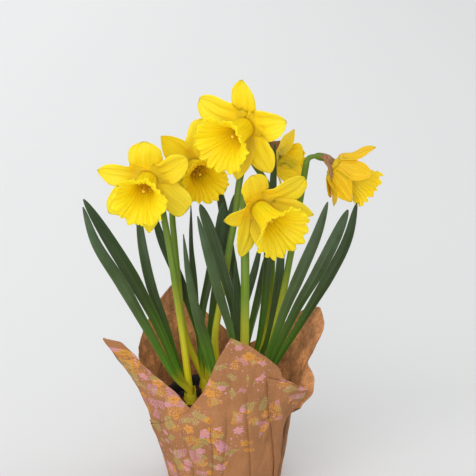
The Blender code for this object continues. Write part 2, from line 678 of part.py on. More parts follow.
def build_spathe(name, flower):
    """The dry sheath at the neck: it clasps the outside of the bend, and its tip covers the ovary."""
    upright, neck, ovary = stem_route(name, flower)
    foot_r = neck[1][1]
    route = smooth_route([p for p, _ in neck[1:] + ovary], SPATHE_CELLS[1])
    rise = (upright[-1][0] - upright[-2][0]).normalized()
    outside = rise - Vector(flower.tail).normalized()

    def place_point(u, t):
        i = round(t * SPATHE_CELLS[1])
        along = tangent_at(route, i)
        out = (outside - along * outside.dot(along)).normalized()
        side = along.cross(out)
        half_turn = math.radians(80 - 45 * t**2)
        r = foot_r + SPATHE_SLACK + (OVARY_R - foot_r) * min(1, 1.6 * t)
        return route[i] + (out * math.cos(u * half_turn) + side * math.sin(u * half_turn)) * r

    spathe = add_object(f"spathe_{name}", sheet(*SPATHE_CELLS, place_point), "spathe")
    solidify(spathe, SPATHE_THICK)


def main():
    clear_scene()
    build_pot()
    build_soil()
    build_bulbs()
    build_wrap()
    for name, leaf in LEAVES.items():
        build_leaf(name, leaf)
    for name, flower in FLOWERS.items():
        build_petals(name, flower)
        build_trumpet(name, flower)
        build_stem(name, flower)
        build_spathe(name, flower)


main()
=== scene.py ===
"""Looks of the potted daffodil: flowers, leaves, bulbs, soil, pot and paper wrap, and a pale studio.

The meshes are worked out in millimetres and scaled to metres. The front faces -Y and +Z is up.
"""

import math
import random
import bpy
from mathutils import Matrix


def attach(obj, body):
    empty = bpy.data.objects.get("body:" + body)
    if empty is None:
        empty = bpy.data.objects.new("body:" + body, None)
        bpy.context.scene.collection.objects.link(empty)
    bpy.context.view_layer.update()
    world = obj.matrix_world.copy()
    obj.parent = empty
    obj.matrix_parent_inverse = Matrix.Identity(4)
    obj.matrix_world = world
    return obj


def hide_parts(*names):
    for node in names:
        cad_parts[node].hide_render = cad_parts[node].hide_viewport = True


bl_info = {
    "name": "Potted Daffodil",
    "version": (1, 0, 0),
    "blender": (4, 5, 0),
    "location": "3D View > Sidebar > Daffodil",
    "description": "Builds daffodils in flower in a nursery pot, with their printed paper wrap",
    "category": "Add Mesh",
}

from typing import NamedTuple

import bmesh
import bpy
from mathutils import Matrix, Vector, noise

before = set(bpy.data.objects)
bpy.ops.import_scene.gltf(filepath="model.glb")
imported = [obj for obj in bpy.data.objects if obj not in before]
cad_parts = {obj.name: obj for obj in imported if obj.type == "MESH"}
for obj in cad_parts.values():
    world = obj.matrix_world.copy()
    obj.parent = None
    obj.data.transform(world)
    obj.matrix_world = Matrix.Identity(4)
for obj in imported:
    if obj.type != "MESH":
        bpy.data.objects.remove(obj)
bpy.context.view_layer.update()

MM = 0.001
SEED = 7
# Points closer together than this many millimetres are joined
JOIN = 1e-4
# Steps of a smooth curve from one of its given points to the next
CURVE_STEPS = 12


def linear(hex_colour):
    """An sRGB colour written as #RRGGBB, as linear red, green and blue."""
    levels = [int(hex_colour[i:i + 2], 16) / 255 for i in (1, 3, 5)]
    return tuple(v / 12.92 if v <= 0.04045 else ((v + 0.055) / 1.055) ** 2.4 for v in levels)


# The plant, as the frame has it. Sizes and places are in millimetres where nothing else is said,
# and a grid is its steps across or round a piece and along it

POT_SIDES = 120
POT_BASE_R = 51.0
POT_RIM_R = 65.0
POT_WALL = 1.3
POT_HEIGHT = 108.0
RIM_BAND = 8.0
RIM_LIP = 2.0
RIM_STEP = 1.5
RIM_ROUND = 0.5
POT_FLOOR_Z = 1.2

SOIL_Z = 97.0
SOIL_CROWN = 2.5
SOIL_R = 61.0
SOIL_DEEP = 6
SOIL_GRID = (160, 70)
SCATTER_R = 58

BULB_FOOT_Z = 62.0
BULB_OUTLINE = [(7.0, 0.0), (13.0, 5.0), (16.0, 14.0), (14.5, 24.0), (10.5, 34.0), (9.5, 42.0)]
BULB_NECK_Z = BULB_FOOT_Z + BULB_OUTLINE[-1][1]
FOOT_GAP = 0.4
BULBS = {
    "left": (-37, -6),
    "middle": (-4, -3),
    "front": (17, -33),
    "right": (38, 2),
    "back": (15, 33),
    "rear_left": (-21, 30),
}
BULB_AROUND = 64
BULB_STEPS = 40
SKIN_RIDGES = 24
SKIN_RELIEF = 0.25
# The pale sheath at a bulb's neck
NECK_GRID = (48, 14)
NECK_WIDE = 7.2
NECK_HIGH = 12
NECK_ROOM = 2.6
NECK_SUNK = 3
NECK_THICK = 0.4 * MM  # in metres

LEAF_BASE_SHARE = 0.42
LEAF_UPRIGHT = 12.0
LEAF_CHANNEL = 0.3
# A higher value draws a leaf's pale rim, partly a painted highlight, thinner
RIM_HIGHLIGHT_POWER = 60.0
LEAF_BLUNT = 4.4
LEAF_RIPPLE = 0.3
# The shares of a leaf's thickness that it loses towards its edges and towards its tip
LEAF_EDGE_THIN = 0.6
LEAF_TIP_THIN = 0.45
LEAF_AROUND = 32
# Steps along a leaf or a stem
BLADE_STEPS = 110

SCAPE_TOP_SHARE = 0.85
PEDICEL_R = 2.3
OVARY_R = 4.2
OVARY_LONG = 11.0
OVARY_OUTLINE = [(0.0, 0.55), (0.3, 0.9), (0.6, 1.0), (1.0, 0.75)]
SCAPE_UPRIGHT = 4.0
SCAPE_STEPS = 9
NECK_STEPS = 4
NECK_DROP = 9.0
STEM_GAP = 0.6
STEM_AROUND = 28
NECK_PULL = 0.55
OVARY_RIB = 0.07
SCAPE_RIB = 0.045
# The dry sheath: half of what it spans round the stem at its foot, and how much less that is
# at its tip, in degrees
SHEATH_HALF = 84
SHEATH_NARROWS = 48
SHEATH_CREASE = 0.4
SHEATH_TEAR = 2.2
SHEATH_GRID = (24, 30)
SHEATH_THICK = 0.35 * MM  # in metres

TUBE_LONG = 15.0
TUBE_BACK_R = 3.4
TUBE_FACE_R = 9.6
TUBE_RIDGE = 0.06
TUBE_AROUND = 36
TUBE_STEPS = 16
PETAL_LONG = 50.0
PETAL_WIDE = 32.0
PETAL_ROOT_R = 3.0
PETAL_FLAT = 9.5
PETAL_GRID = (26, 40)
# The share of a petal's length where it is widest, and the share where its tip starts to curl
PETAL_WIDEST = 0.54
CURL_FROM = 0.35
# How far past its flat root a petal gets its full form, and its bow's height and run
PETAL_RISE = 12
PETAL_BOW = 1.8
BOW_RUN = 34
MIDRIB = 0.7
SIDE_RIB = 0.35
PETAL_WAVE = 1.5
PETAL_DENT = 0.8
# Where a petal is narrower than this, its relief fades
CALM_UNDER = 6
TRUMPET_BASE_R = 9.2
TRUMPET_SWELL = 3.5
TRUMPET_FLOOR_Z = 1.975
FRILL = 1.7
# How many of each there are round a trumpet's mouth
LOBES = 6
FRILLS = 15
FLUTES = 23
TRUMPET_GRID = (276, 40)
STAMENS = 6
STAMEN_RING_R = 4.2
STAMEN_LONG = 17.0
# How much longer every second stamen is
STAMEN_STEP = 1.5
STAMEN_LEAN = 0.02
SPIKE_GRID = (12, 24)
STYLE_LONG = 24.0

WRAP_FLAT_R = 54.0
WRAP_FOOT_Z = 0.25
WRAP_BODY = [(59.5, 4.0), (63.5, 24.0), (68.0, 46.0), (72.0, 66.0), (77.5, 90.0)]
COLLAR_SHIFT = 4.5
WRAP_FLARE_ROWS = 3
PLEATS = 15
PLEAT_DEPTH = 1.3
# Steps up the wrap, along each side of a folded layer, and up the column that it lies on
WRAP_ROWS = 84
LAYER_GRID = 60
LAYER_ROWS = 40
# Metres of print round the wrap, and to each millimetre of its height
PRINT_ROUND = 0.42
PRINT_RISE = 0.00125
# The wrap's upper edge, anticlockwise from +X: bearing in degrees, distance from the axis, height
WRAP_EDGE = [
    (0, 90, 144), (6, 109, 185), (13, 107, 197), (22, 102, 195), (36, 89, 176), (50, 76, 154),
    (67, 71, 141), (84, 72, 150), (98, 74, 166), (112, 78, 185), (124, 84, 208), (132, 87, 211),
    (143, 88, 200), (156, 91, 180), (168, 94, 164), (177, 92, 148), (184, 88, 121), (190, 113, 152),
    (195, 132, 184), (199, 113, 180), (202, 102, 166), (207, 94, 156), (216, 85, 145), (228, 77, 133),
    (241, 72, 117), (252, 77, 136), (258, 79, 151), (265, 82, 175), (275, 81, 201), (284, 82, 195),
    (292, 83, 188), (302, 85, 176), (311, 87, 164), (313.5, 88, 151), (329, 101, 134), (337, 83, 102),
    (344, 90, 100), (352, 97, 114), (356, 97, 128),
]


class Petal(NamedTuple):
    """How a petal stands: degrees forward and about the axis, and its length and width as shares."""

    lean: float
    turn: float = 0.0
    long: float = 1.0
    wide: float = 1.0


class Flower(NamedTuple):
    """A flower's place and the way that it looks, its parts, and the stem that carries it."""

    place: tuple
    axis: tuple
    tail: tuple  # the way that its ovary looks
    turn: float  # degrees about the axis
    size: float  # against the standard flower
    trumpet_long: float
    mouth_r: float
    stem_r: float
    reach: float  # how far its bent neck stands out from the upright scape
    petals: tuple  # the top one first, anticlockwise as seen from the front
    points: list  # that the scape runs through on its way up


FLOWERS = {
    "left": Flower(
        (-77, -25, 353), (-0.134, -0.947, -0.293), (-0.134, -0.947, -0.293), 5, 1.02, 45, 26.5, 3.9, 9,
        (Petal(20, -4, 1, 1.08), Petal(4, 10, 1.04, 0.9), Petal(26, 5, 1.1), Petal(26, -2, 1.12, 0.9),
         Petal(12, -11, 1.07, 1.05), Petal(-2, -3)),
        [(-42.5, -11, 165), (-49, -14, 219), (-55, -13, 265), (-62, -8, 305)]),
    "rear_left": Flower(
        (-32, 35, 352), (0.3, -0.943, -0.145), (0.3, -0.943, -0.145), -12, 0.97, 45, 25, 3.6, 9,
        (Petal(-8, 0, 1.05), Petal(1, -2, 1.03), Petal(0), Petal(-10, 0, 0.95), Petal(0), Petal(0)),
        [(-42.5, 27, 165), (-49, 30, 215), (-53, 35, 262), (-56, 44, 300), (-51, 58, 332)]),
    "middle": Flower(
        (23, -8, 404), (-0.511, -0.828, -0.231), (-0.511, -0.828, -0.231), -4, 1.1, 45, 27, 3.8, 5,
        (Petal(14, -3, 1, 0.8), Petal(12, 2, 1.05, 1.15), Petal(14, 0, 0.95), Petal(24, -3, 1.04, 0.9),
         Petal(18, -20), Petal(8, -11, 1, 1.1)),
        [(-10, -3, 165), (-6, -3, 200), (0, -2, 235), (5, 1, 268), (12, 7, 305), (17, 14, 345),
         (26, 19, 375)]),
    "front": Flower(
        (35, -42, 327.5), (0.514, -0.775, -0.368), (0.2, -0.95, -0.25), 22, 1.05, 45, 28, 4.8, 3,
        (Petal(13, 0, 1, 0.9), Petal(16, 6, 1, 0.7), Petal(24, 15, 1.04, 0.8), Petal(30, -6, 0.95),
         Petal(36, 8, 1.1), Petal(17, -9, 1.07, 0.8)),
        [(21, -33, 165), (22, -32, 225), (22, -27, 271)]),
    "back": Flower(
        (56, 45, 356.5), (0.919, 0.337, -0.204), (0.919, 0.337, -0.204), 0, 0.85, 30, 17, 3.6, 1,
        (Petal(9, 27, 1, 0.9), Petal(22, 3, 0.96, 1.1), Petal(30, -18, 0.97, 1.1), Petal(33, 30),
         Petal(35, 20), Petal(30, 15)),
        [(44, 32, 160), (50, 31, 205), (51.5, 30, 250), (50, 31, 295), (48, 33, 320), (45, 35, 339)]),
    "right": Flower(
        (115, 4, 360), (0.8, 0.145, -0.583), (0.96, -0.05, 0.15), -5, 0.9, 49, 23, 3.8, 9,
        (Petal(37, 17, 1.07, 0.75), Petal(43, 11, 1.07, 0.9), Petal(53, 12, 1.06), Petal(43, 10, 1.04),
         Petal(45, -20), Petal(45)),
        [(50.5, 6, 160), (58.5, 10, 195), (65.5, 12, 232), (73, 13, 275), (80, 14, 320)]),
}


class Leaf(NamedTuple):
    """A strap leaf, named for its bulb, and the points that it runs through from the neck up."""

    offset: tuple  # of its foot from the middle of the neck
    width: float
    low_face: tuple  # the way that its face looks low down
    tip_face: tuple  # and at its tip
    points: list
    taper: float = 0.6  # the share of its length where it starts to narrow


LEAVES = {
    "left_1": Leaf((-1, -8), 14.0, (0.1, -1, 0), (-0.5, -0.85, 0.2),
                   [(-54, -18, 137), (-77, -22, 184), (-105, -26, 240), (-130, -31, 285),
                    (-143, -36, 326)]),
    "left_2": Leaf((-1, -5.4), 14.5, (0.1, -1, 0), (0.1, -1, 0.1),
                   [(-49, -12, 135), (-68, -12, 186), (-94, -13, 240), (-121, -16, 289),
                    (-144, -20, 330)]),
    "left_3": Leaf((0, 5.8), 11.0, (0.2, -1, 0), (0.4, -0.9, 0),
                   [(-48, 3, 135), (-64, 6, 186), (-78, 8, 227), (-86.5, 9, 270), (-91, 12, 314)]),
    "rear_left_1": Leaf((-1, 6.4), 11.5, (0.2, -1, 0), (0.6, -0.8, 0),
                        [(-21, 38, 130), (-33, 38, 177), (-49, 38, 224), (-68, 43, 268), (-79, 50, 305)]),
    "rear_left_2": Leaf((-2, -7.8), 10.0, (0.3, -1, 0), (1, -0.35, 0),
                        [(-26, 20, 133), (-30, 19, 178), (-33, 19, 223), (-36, 18, 268), (-35, 19, 314)]),
    "rear_left_3": Leaf((2, -5.4), 13.0, (0.0, -1, 0), (-0.4, -1, 0),
                        [(-17, 24, 147), (-11, 24, 199), (-3, 25, 245), (6, 27, 290), (11, 31, 322)]),
    "middle_1": Leaf((-2, -7.8), 12.5, (0.1, -1, 0), (-0.7, -0.8, 0),
                     [(-11, -16, 142), (-19, -24, 177), (-27, -30, 209), (-35, -35, 249), (-41, -39, 298)],
                     0.35),
    "middle_2": Leaf((-4, 6.6), 12.0, (0.1, -1, 0), (0.3, -1, 0),
                     [(-17, 7, 134), (-25, 9, 186), (-15.5, 11, 240), (-5.5, 11, 283), (-0.5, 11, 319)],
                     0.78),
    "middle_3": Leaf((5, 5.2), 8.5, (-0.2, -1, 0), (-0.3, -1, 0),
                     [(5, 8, 140), (13, 9, 175), (23, 8, 211), (32.5, 7, 245), (39, 6, 276)]),
    "front_1": Leaf((-4, -6.4), 10.0, (0.8, -0.6, 0), (-0.4, -1, 0),
                    [(13, -42, 150), (7, -44, 193), (-5.5, -47, 240), (-17, -50, 285), (-26, -53, 321)]),
    "front_2": Leaf((-6, 5.2), 8.5, (0.4, -1, 0), (0.8, -0.8, 0),
                    [(12, -25, 150), (12, -24, 185), (12, -23, 215), (12, -24, 240), (12.5, -25, 267)]),
    "front_3": Leaf((1, 8.4), 12.0, (0.1, -1, 0), (0.3, -1, 0),
                    [(16, -19, 150), (11, -17, 200), (2, -17, 240), (-11, -15, 285), (-24.5, -13, 323)],
                    0.78),
    "right_1": Leaf((-2, -7.6), 12.5, (-0.2, -1, 0), (-0.4, -1, 0),
                    [(46, -6, 150), (64, -9, 205), (82, -10, 251), (97, -8, 288), (108, -4, 323)]),
    "right_2": Leaf((2, -5.6), 13.5, (-0.4, -1, 0), (-0.3, -1, 0.1),
                    [(53, -3, 150), (77, -3, 205), (99, -1, 245), (115.5, 3, 278), (130, 6, 312)],
                    0.7),
    "right_3": Leaf((5, 5.8), 12.0, (-0.3, -1, 0), (-0.2, -1, 0),
                    [(60, 14, 145), (89, 20, 193), (116, 24, 240), (132, 26, 275), (141, 28, 314)]),
    "back_1": Leaf((3, -6.8), 11.5, (-0.1, -1, 0), (0.7, -0.8, 0),
                   [(34, 18, 150), (42, 14, 200), (46, 13, 256), (50, 14, 320), (53, 15, 380)]),
    "back_2": Leaf((5, -4.6), 10.0, (0.3, -1, 0), (0.1, -1, 0),
                   [(42, 23, 150), (53, 20, 195), (58, 17, 230), (60, 14, 260), (60, 12, 290)]),
    "back_3": Leaf((-3, 5.8), 12.5, (0.2, 1, 0), (0.3, 1, 0),
                   [(14, 45, 150), (14, 50, 200), (5, 53, 250), (-2, 55, 300), (-10, 56, 338)]),
    "back_4": Leaf((3, 7.4), 12.5, (-0.2, 1, 0), (-0.4, 1, 0),
                   [(26, 48, 150), (38, 53, 200), (50, 57, 245), (66, 60, 285), (83, 61, 318)]),
}


class Form(NamedTuple):
    """How one petal's form differs from the plain one. Angles are in degrees."""

    point: float = 0.5  # from 0 for a round end to 1 for a long point
    fold: float = 0.0  # that its halves are folded forward along the middle
    curl: float = 0.0  # that its tip is bent forward
    pleat: float = 0.7  # depth of the pleats along it
    long: float = 1.0
    turn: float = 0.0
    wide: float = 1.0
    full: float = 0.4  # its width at the base against its full width
    sway: float = 0.0  # how far its tip stands aside, anticlockwise as seen from the front


FORMS = {
    "left": (Form(0.1, 0, -8, 1.1, 0.93, full=1.1, sway=-2), Form(0.6, 8, 0, 0.9, 0.98, full=0.75, sway=2),
             Form(0.45, 0, -6, 0.9), Form(0.9, 10, 6, 0.6), Form(-0.5, 0, 0, 0.8, 0.95, full=0.6, sway=-2),
             Form(0.5, 18, 8, 1.3, 1.05, -4, full=0.6, sway=6)),
    "rear_left": (Form(0.2, 0, -6, 0.9, full=0.8), Form(0.85, 8, 0, 0.8, 1.08, full=0.6, sway=-1), Form(),
                  Form(), Form(), Form(0.4)),
    "middle": (Form(0.6, 8, -4, 1.5, full=0.75), Form(0.3, 0, -10, 1.0, 0.98, 5, full=1.15, sway=-1), Form(),
               Form(0.8), Form(0.6, 8, 0, 0.9, full=0.6), Form(0.5, 6, -10, 1.1, 0.93, 2, full=0.6, sway=-3)),
    "front": (Form(0.2, 0, -6, 0.7, 0.93, full=0.6, sway=3), Form(0.8, 12, 0, 0.9, full=0.7), Form(0.6),
              Form(), Form(0.9, 6, 0, 0.9, 1.05, wide=0.85), Form(0.2, 6, -6, 1.5, 1.0, wide=1.45, full=0.6)),
    "back": (Form(0.9, 6), Form(0.4), Form(0.4), Form(), Form(), Form()),
    "right": (Form(0.3, 10, 0, 0.8), Form(0.8, 8, 0, 0.9), Form(0.9, 8, 0, 0.9), Form(), Form(), Form()),
}

class Whorl(NamedTuple):
    """What sets a flower's outer three petals apart from its inner three."""

    wide: float
    lift: float
    lean: float
    cup: float  # how far the edges stand forward, against half the width


WHORLS = (Whorl(1.0, -0.7, 0, -0.02), Whorl(0.9, 0.5, 4, 0.16))


class Spike(NamedTuple):
    """A stamen or the style: its stalk's radius, its head's radius and length, and how lobed that is."""

    stalk: float
    head: float
    head_long: float
    lobes: float


STAMEN = Spike(0.55, 1.15, 9.0, 0.12)
STYLE = Spike(0.8, 1.8, 2.6, 0.25)

# How far each flower's petals and trumpet go from lemon to a darker, deeper yellow: partly their own riper
# colour, partly painted shade on the flowers that stand in shade
RIPE_AND_SHADE = {
    "left": (0.0, 0.0), "rear_left": (0.1, 0.35), "middle": (0.0, 0.0), "front": (0.1, 0.15),
    "back": (0.3, 0.4), "right": (0.9, 0.4),
}

# How much waxy bloom each leaf and stem carries
BLOOM = {
    "left_1": 0.5, "left_2": 0.15, "left_3": 0.6, "rear_left_1": 0.1, "rear_left_2": 0.2,
    "rear_left_3": 0.25, "middle_1": 0.45, "middle_2": 0.3, "middle_3": 0.2, "front_1": 0.45,
    "front_2": 0.2, "front_3": 0.35, "right_1": 0.5, "right_2": 0.6, "right_3": 0.3, "back_1": 0.1,
    "back_2": 0.35, "back_3": 0.1, "back_4": 0.15, "stem_left": 0.5, "stem_rear_left": 0.2,
    "stem_middle": 0.6, "stem_front": 0.4, "stem_back": 0.2, "stem_right": 0.35,
}

# A dry sheath's loose tip: its width, and the points that it runs through
SHEATH_TIPS = {
    "right": (5.0, [(106, -5, 366), (109, -8, 360), (111, -9, 353), (111, -9, 346)]),
    "back": (14.0, [(52, 32, 381), (52, 32, 374), (50, 32, 363)]),
}
# The share of the sheath's length, from the stem, that is bare stem
SHEATH_BARE = {"right": 0.45}
# How far it runs on over the flower's tube
SHEATH_OVER = {"right": 9.0}

# Folds that run down the wrap: bearing at the top and at the bottom, highest and lowest point, depth
FOLDS = [
    (288, 296, 130, 8, 1.4), (262, 258, 110, 8, 1.2), (272, 270, 112, 8, 1.0),
    (236, 246, 100, 8, 1.2), (214, 228, 110, 8, 1.4), (20, 14, 150, 8, 1.8), (48, 52, 130, 8, 1.6),
    (80, 76, 140, 8, 1.6), (118, 112, 150, 8, 1.6), (150, 146, 140, 8, 1.6), (172, 170, 120, 8, 1.5),
    (342, 338, 95, 8, 1.6),
]
# Where the wrap's columns stand closer together
FRONT_FROM = 185
FRONT_TO = 345


class Layer(NamedTuple):
    """A layer of paper that lies over the wrap. Bearings are in degrees."""

    top: list  # bearing and height along its upper edge
    left: list  # height and bearing along its left edge
    right: float
    low: float  # height of its lower edge
    lift: float  # how far its edges stand off
    curl: float  # 1 if its left edge stands off, 0 if not
    sunk: float  # 1 if its lower edge goes under the wrap, 0 if not
    print_shift: float  # metres that its print is moved up


LAYERS = {
    "paper_corner_fold": Layer(
        [(302, 153.8), (313.5, 148), (329, 133.8), (338, 101.5)],
        [(8, 327), (24, 324), (76, 314.5), (103, 308.3), (154, 302)], 338, 8, 1.6, 1, 0, 0.031),
    "paper_overlap": Layer(
        [(172, 74), (190, 80), (208, 88.7), (221.4, 97.7), (232.2, 107), (240, 113.5), (244, 118.5),
         (262, 168)],
        [(40, 168), (120, 168)], 262, 40, 1.3, 0, 1, 0.0),
}
LAYER_GAP = 0.6
FOLD_WIDTH = 0.7
FOLD_RUN = 18.0
# How far a crease's painted shade fades out on the near side of its fold
CREASE_SHADE_RUN = 1.3
# Under the right-hand corner the paper is tucked in, and painted shade darkens it
TUCK_FROM = 334
TUCK_TO = 345
TUCK_TOP_Z = 122
TUCK_DEPTH = 4.5
TUCK_PAINTED_SHADE = 0.8

# The stage, in metres
FLOOR_R = 12
# Each lamp's name, the way that it shines, its share of the key light and its angle in degrees
LAMPS = (
    ("key", (0.4, 0.88, -0.48), 1.0, 60),
    ("front", (0.08, 0.97, -0.12), 0.35, 35),
    ("rim", (-0.7, -0.2, -0.5), 0.25, 40),
)
# Focal length and width of the sensor, in millimetres
CAMERA_LENS = 108.05
CAMERA_SENSOR = 36.0
# Where the camera stands and the point that it looks at
CAMERA_PLACE = (0.0147, -1.4419, 0.6964)
CAMERA_AIM = (0.0147, 0, 0.2829)


# Settings that a user would change


def colour_setting(label, hex_colour, told):
    return bpy.props.FloatVectorProperty(
        name=label, description=told, subtype="COLOR", default=linear(hex_colour)
    )


def length_setting(label, metres, told):
    return bpy.props.FloatProperty(
        name=label, description=told, default=metres, unit="LENGTH", precision=4
    )


class DaffodilFlowerSettings(bpy.types.PropertyGroup):
    petal_thickness: length_setting("Petal thickness", 0.0006, "Thickness of a petal")
    trumpet_thickness: length_setting("Trumpet thickness", 0.0006, "Thickness of the trumpet's wall")
    petal_colour: colour_setting("Petal", "#EFCC24", "Colour of the petals in full light")
    petal_base_colour: colour_setting("Petal base", "#F6BF12", "Colour near the tube")
    trumpet_colour: colour_setting("Trumpet", "#FFD010", "Colour of the trumpet near its mouth")
    throat_colour: colour_setting("Throat", "#FFC40C", "Colour deep in the trumpet")
    # Darker, deeper yellow: partly the older flowers' own colour, partly painted shade on flowers in shade
    ripe_and_shade_colour: colour_setting("Ripe", "#D8A80A", "Colour that the older flowers deepen to")
    anther_colour: colour_setting("Anthers", "#FFCC24", "Colour of the pollen heads")
    spathe_colour: colour_setting("Sheath", "#8A6440", "Colour of the dry sheath")


class DaffodilLeafSettings(bpy.types.PropertyGroup):
    thickness: length_setting("Thickness", 0.0017, "Thickness of a leaf along its middle")
    leaf_colour: colour_setting("Leaf", "#3A4A1E", "Colour of a leaf's middle stretch")
    tip_colour: colour_setting("Leaf tip", "#35482A", "Colour of the upper leaf")
    base_colour: colour_setting("Lower leaf", "#56801C", "Colour of a leaf's lower stretch")
    bloom_colour: colour_setting("Bloom", "#72896E", "Waxy grey bloom on the leaves")
    # The leaves' pale rim: partly their paler thin edges, partly a painted highlight along them
    leaf_rim_highlight_colour: colour_setting("Leaf rim", "#7F9456", "Pale colour of a leaf's thin edges")
    stem_colour: colour_setting("Stem", "#607A16", "Colour of the flower stems")
    stem_base_colour: colour_setting("Stem base", "#B4B024", "Colour of the flower stems low down")
    foot_colour: colour_setting("Foot", "#D2C41E", "Colour of stems and leaves where they leave the soil")
    skin_colour: colour_setting("Bulb skin", "#50301A", "Colour of the bulbs' papery skin")


class DaffodilPotSettings(bpy.types.PropertyGroup):
    pot_colour: colour_setting("Pot", "#1B1B1C", "Colour of the moulded pot")
    soil_colour: colour_setting("Soil", "#120C08", "Colour of the damp potting mix")
    crumb_size: length_setting("Crumb size", 0.0032, "Size of the larger crumbs")
    crumbs: bpy.props.IntProperty(name="Crumbs", description="Loose crumbs on the soil", default=900, min=0)
    perlite: bpy.props.IntProperty(name="Perlite", description="White grains on the soil", default=70, min=0)


class DaffodilWrapSettings(bpy.types.PropertyGroup):
    thickness: length_setting("Paper thickness", 0.0005, "Thickness of the paper")
    crumple: length_setting("Crumple", 0.0009, "Depth of the paper's soft dents")
    kraft_colour: colour_setting("Paper", "#9A6A45", "Colour of the outside")
    inside_colour: colour_setting("Paper inside", "#C48654", "Colour of the inside")
    pink_colour: colour_setting("Pink print", "#C78A98", "Colour of the pink motifs")
    ochre_colour: colour_setting("Ochre print", "#C98A3A", "Colour of the ochre motifs")
    olive_colour: colour_setting("Olive print", "#A09A5C", "Colour of the olive sprigs")


class DaffodilStageSettings(bpy.types.PropertyGroup):
    floor_colour: colour_setting("Floor", "#DEDEDE", "Colour of the studio floor")
    key_strength: bpy.props.FloatProperty(
        name="Key light", description="Strength of the key light", default=1.6, min=0
    )
    fill_strength: bpy.props.FloatProperty(
        name="Fill light", description="Strength of the light from all round", default=0.88, min=0
    )


# Helpers for meshes


def new_object(name, bm, materials, thickness=0.0):
    """Turns a bmesh in millimetres into a smooth piece in metres that rides on the plant's one body.

    A thickness in metres goes half to each side of a sheet, whose last material covers its back.
    """
    bmesh.ops.scale(bm, vec=(MM, MM, MM), verts=bm.verts)
    mesh = bpy.data.meshes.new(name)
    bm.to_mesh(mesh)
    bm.free()
    for material in materials:
        mesh.materials.append(material)
    mesh.shade_smooth()
    piece = bpy.data.objects.new(name, mesh)
    bpy.context.scene.collection.objects.link(piece)
    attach(piece, "root")
    if thickness:
        modifier = piece.modifiers.new("Thickness", "SOLIDIFY")
        modifier.thickness = thickness
        modifier.offset = 0
        modifier.use_even_offset = False
        modifier.material_offset = len(materials) - 1
    return piece


def fine_object(node, bm, materials, thickness=0.0):
    """A piece that takes the place of the solid node of that name."""
    piece = new_object(f"{node}_fine", bm, materials, thickness)
    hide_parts(node)
    return piece


def add_sheet(bm, across, along, place, shade=0.5):
    """Adds a grid whose points place(u, t) puts, with u and t from 0 to 1, and returns its points."""
    bm.loops.layers.uv.verify()
    shade_layer = bm.verts.layers.float.get("shade") or bm.verts.layers.float.new("shade")
    made = bmesh.ops.create_grid(bm, x_segments=across, y_segments=along, size=1, calc_uvs=True)["verts"]
    for vert in made:
        vert.co = place((vert.co.x + 1) / 2, (vert.co.y + 1) / 2)
        vert[shade_layer] = shade
    return made


def add_tube(bm, around, along, place, shade=0.5):
    """Adds a grid that closes on itself, whose points place(angle, t) puts."""
    made = add_sheet(bm, around, along, lambda u, t: place(math.tau * u, t), shade)
    bmesh.ops.remove_doubles(bm, verts=made, dist=JOIN)


def mark(bm, name, value):
    """Gives every point of a piece the same value of an attribute that its material reads."""
    layer = bm.verts.layers.float.new(name)
    for vert in bm.verts:
        vert[layer] = value


def closed(bm):
    bmesh.ops.recalc_face_normals(bm, faces=bm.faces)
    return bm


def at(r, angle, z=0.0):
    """The point at a distance from the axis, an angle about it and a height."""
    return Vector((r * math.cos(angle), r * math.sin(angle), z))


def clamped(share):
    return min(1.0, max(0.0, share))


def eased(share):
    share = clamped(share)
    return share * share * (3 - 2 * share)


def wander(x, y, z):
    """Smooth noise from -1 to 1."""
    return noise.noise(Vector((x, y, z)))


def smooth_route(points, count):
    """Points along a smooth curve through the given ones, evenly spaced in length."""
    knots = [Vector(p) for p in points]
    knots = [knots[0] * 2 - knots[1]] + knots + [knots[-1] * 2 - knots[-2]]
    fine = []
    for a, b, c, d in zip(knots, knots[1:], knots[2:], knots[3:]):
        for i in range(CURVE_STEPS):
            t = i / CURVE_STEPS
            fine.append(
                0.5 * (2 * b + (c - a) * t + (2 * a - 5 * b + 4 * c - d) * t**2
                       + (3 * b - a - 3 * c + d) * t**3)
            )
    fine.append(knots[-2])
    along = lengths(fine)
    route = []
    k = 0
    for i in range(count + 1):
        want = along[-1] * i / count
        while k < len(fine) - 2 and along[k + 1] < want:
            k += 1
        share = (want - along[k]) / max(along[k + 1] - along[k], 1e-9)
        route.append(fine[k].lerp(fine[k + 1], share))
    return route


def lengths(points):
    """How far along a line each of its points is."""
    along = [0.0]
    for a, b in zip(points, points[1:]):
        along.append(along[-1] + (b - a).length)
    return along


def tangent_at(route, i):
    return (route[min(i + 1, len(route) - 1)] - route[max(i - 1, 0)]).normalized()


# Helpers for materials


def add_node(tree, kind, inputs=None, **settings):
    """Adds a node with its settings. Each input is a value or the output socket that feeds it."""
    made = tree.nodes.new(kind)
    for name, value in settings.items():
        setattr(made, name, value)
    for key, value in (inputs or {}).items():
        if isinstance(value, bpy.types.NodeSocket):
            tree.links.new(value, made.inputs[key])
        else:
            made.inputs[key].default_value = value
    return made


def new_material(name, **values):
    """A material with one Principled shader, whose own sockets take the plain values."""
    material = bpy.data.materials.new(name)
    material.use_nodes = True
    tree = material.node_tree
    shader = tree.nodes["Principled BSDF"]
    for key, value in values.items():
        shader.inputs[key.replace("_", " ")].default_value = value
    return material, tree, shader


def finish(tree, shader, colour, height=None, strength=0.0, distance=0.0):
    """Gives a shader its colour, and the fine relief that a height makes."""
    tree.links.new(colour, shader.inputs["Base Color"])
    if height:
        relief = {"Height": height, "Strength": strength, "Distance": distance}
        tree.links.new(add_node(tree, "ShaderNodeBump", relief).outputs[0], shader.inputs["Normal"])


def object_place(tree):
    return add_node(tree, "ShaderNodeTexCoord").outputs["Object"]


def uv_place(tree):
    return add_node(tree, "ShaderNodeUVMap").outputs["UV"]


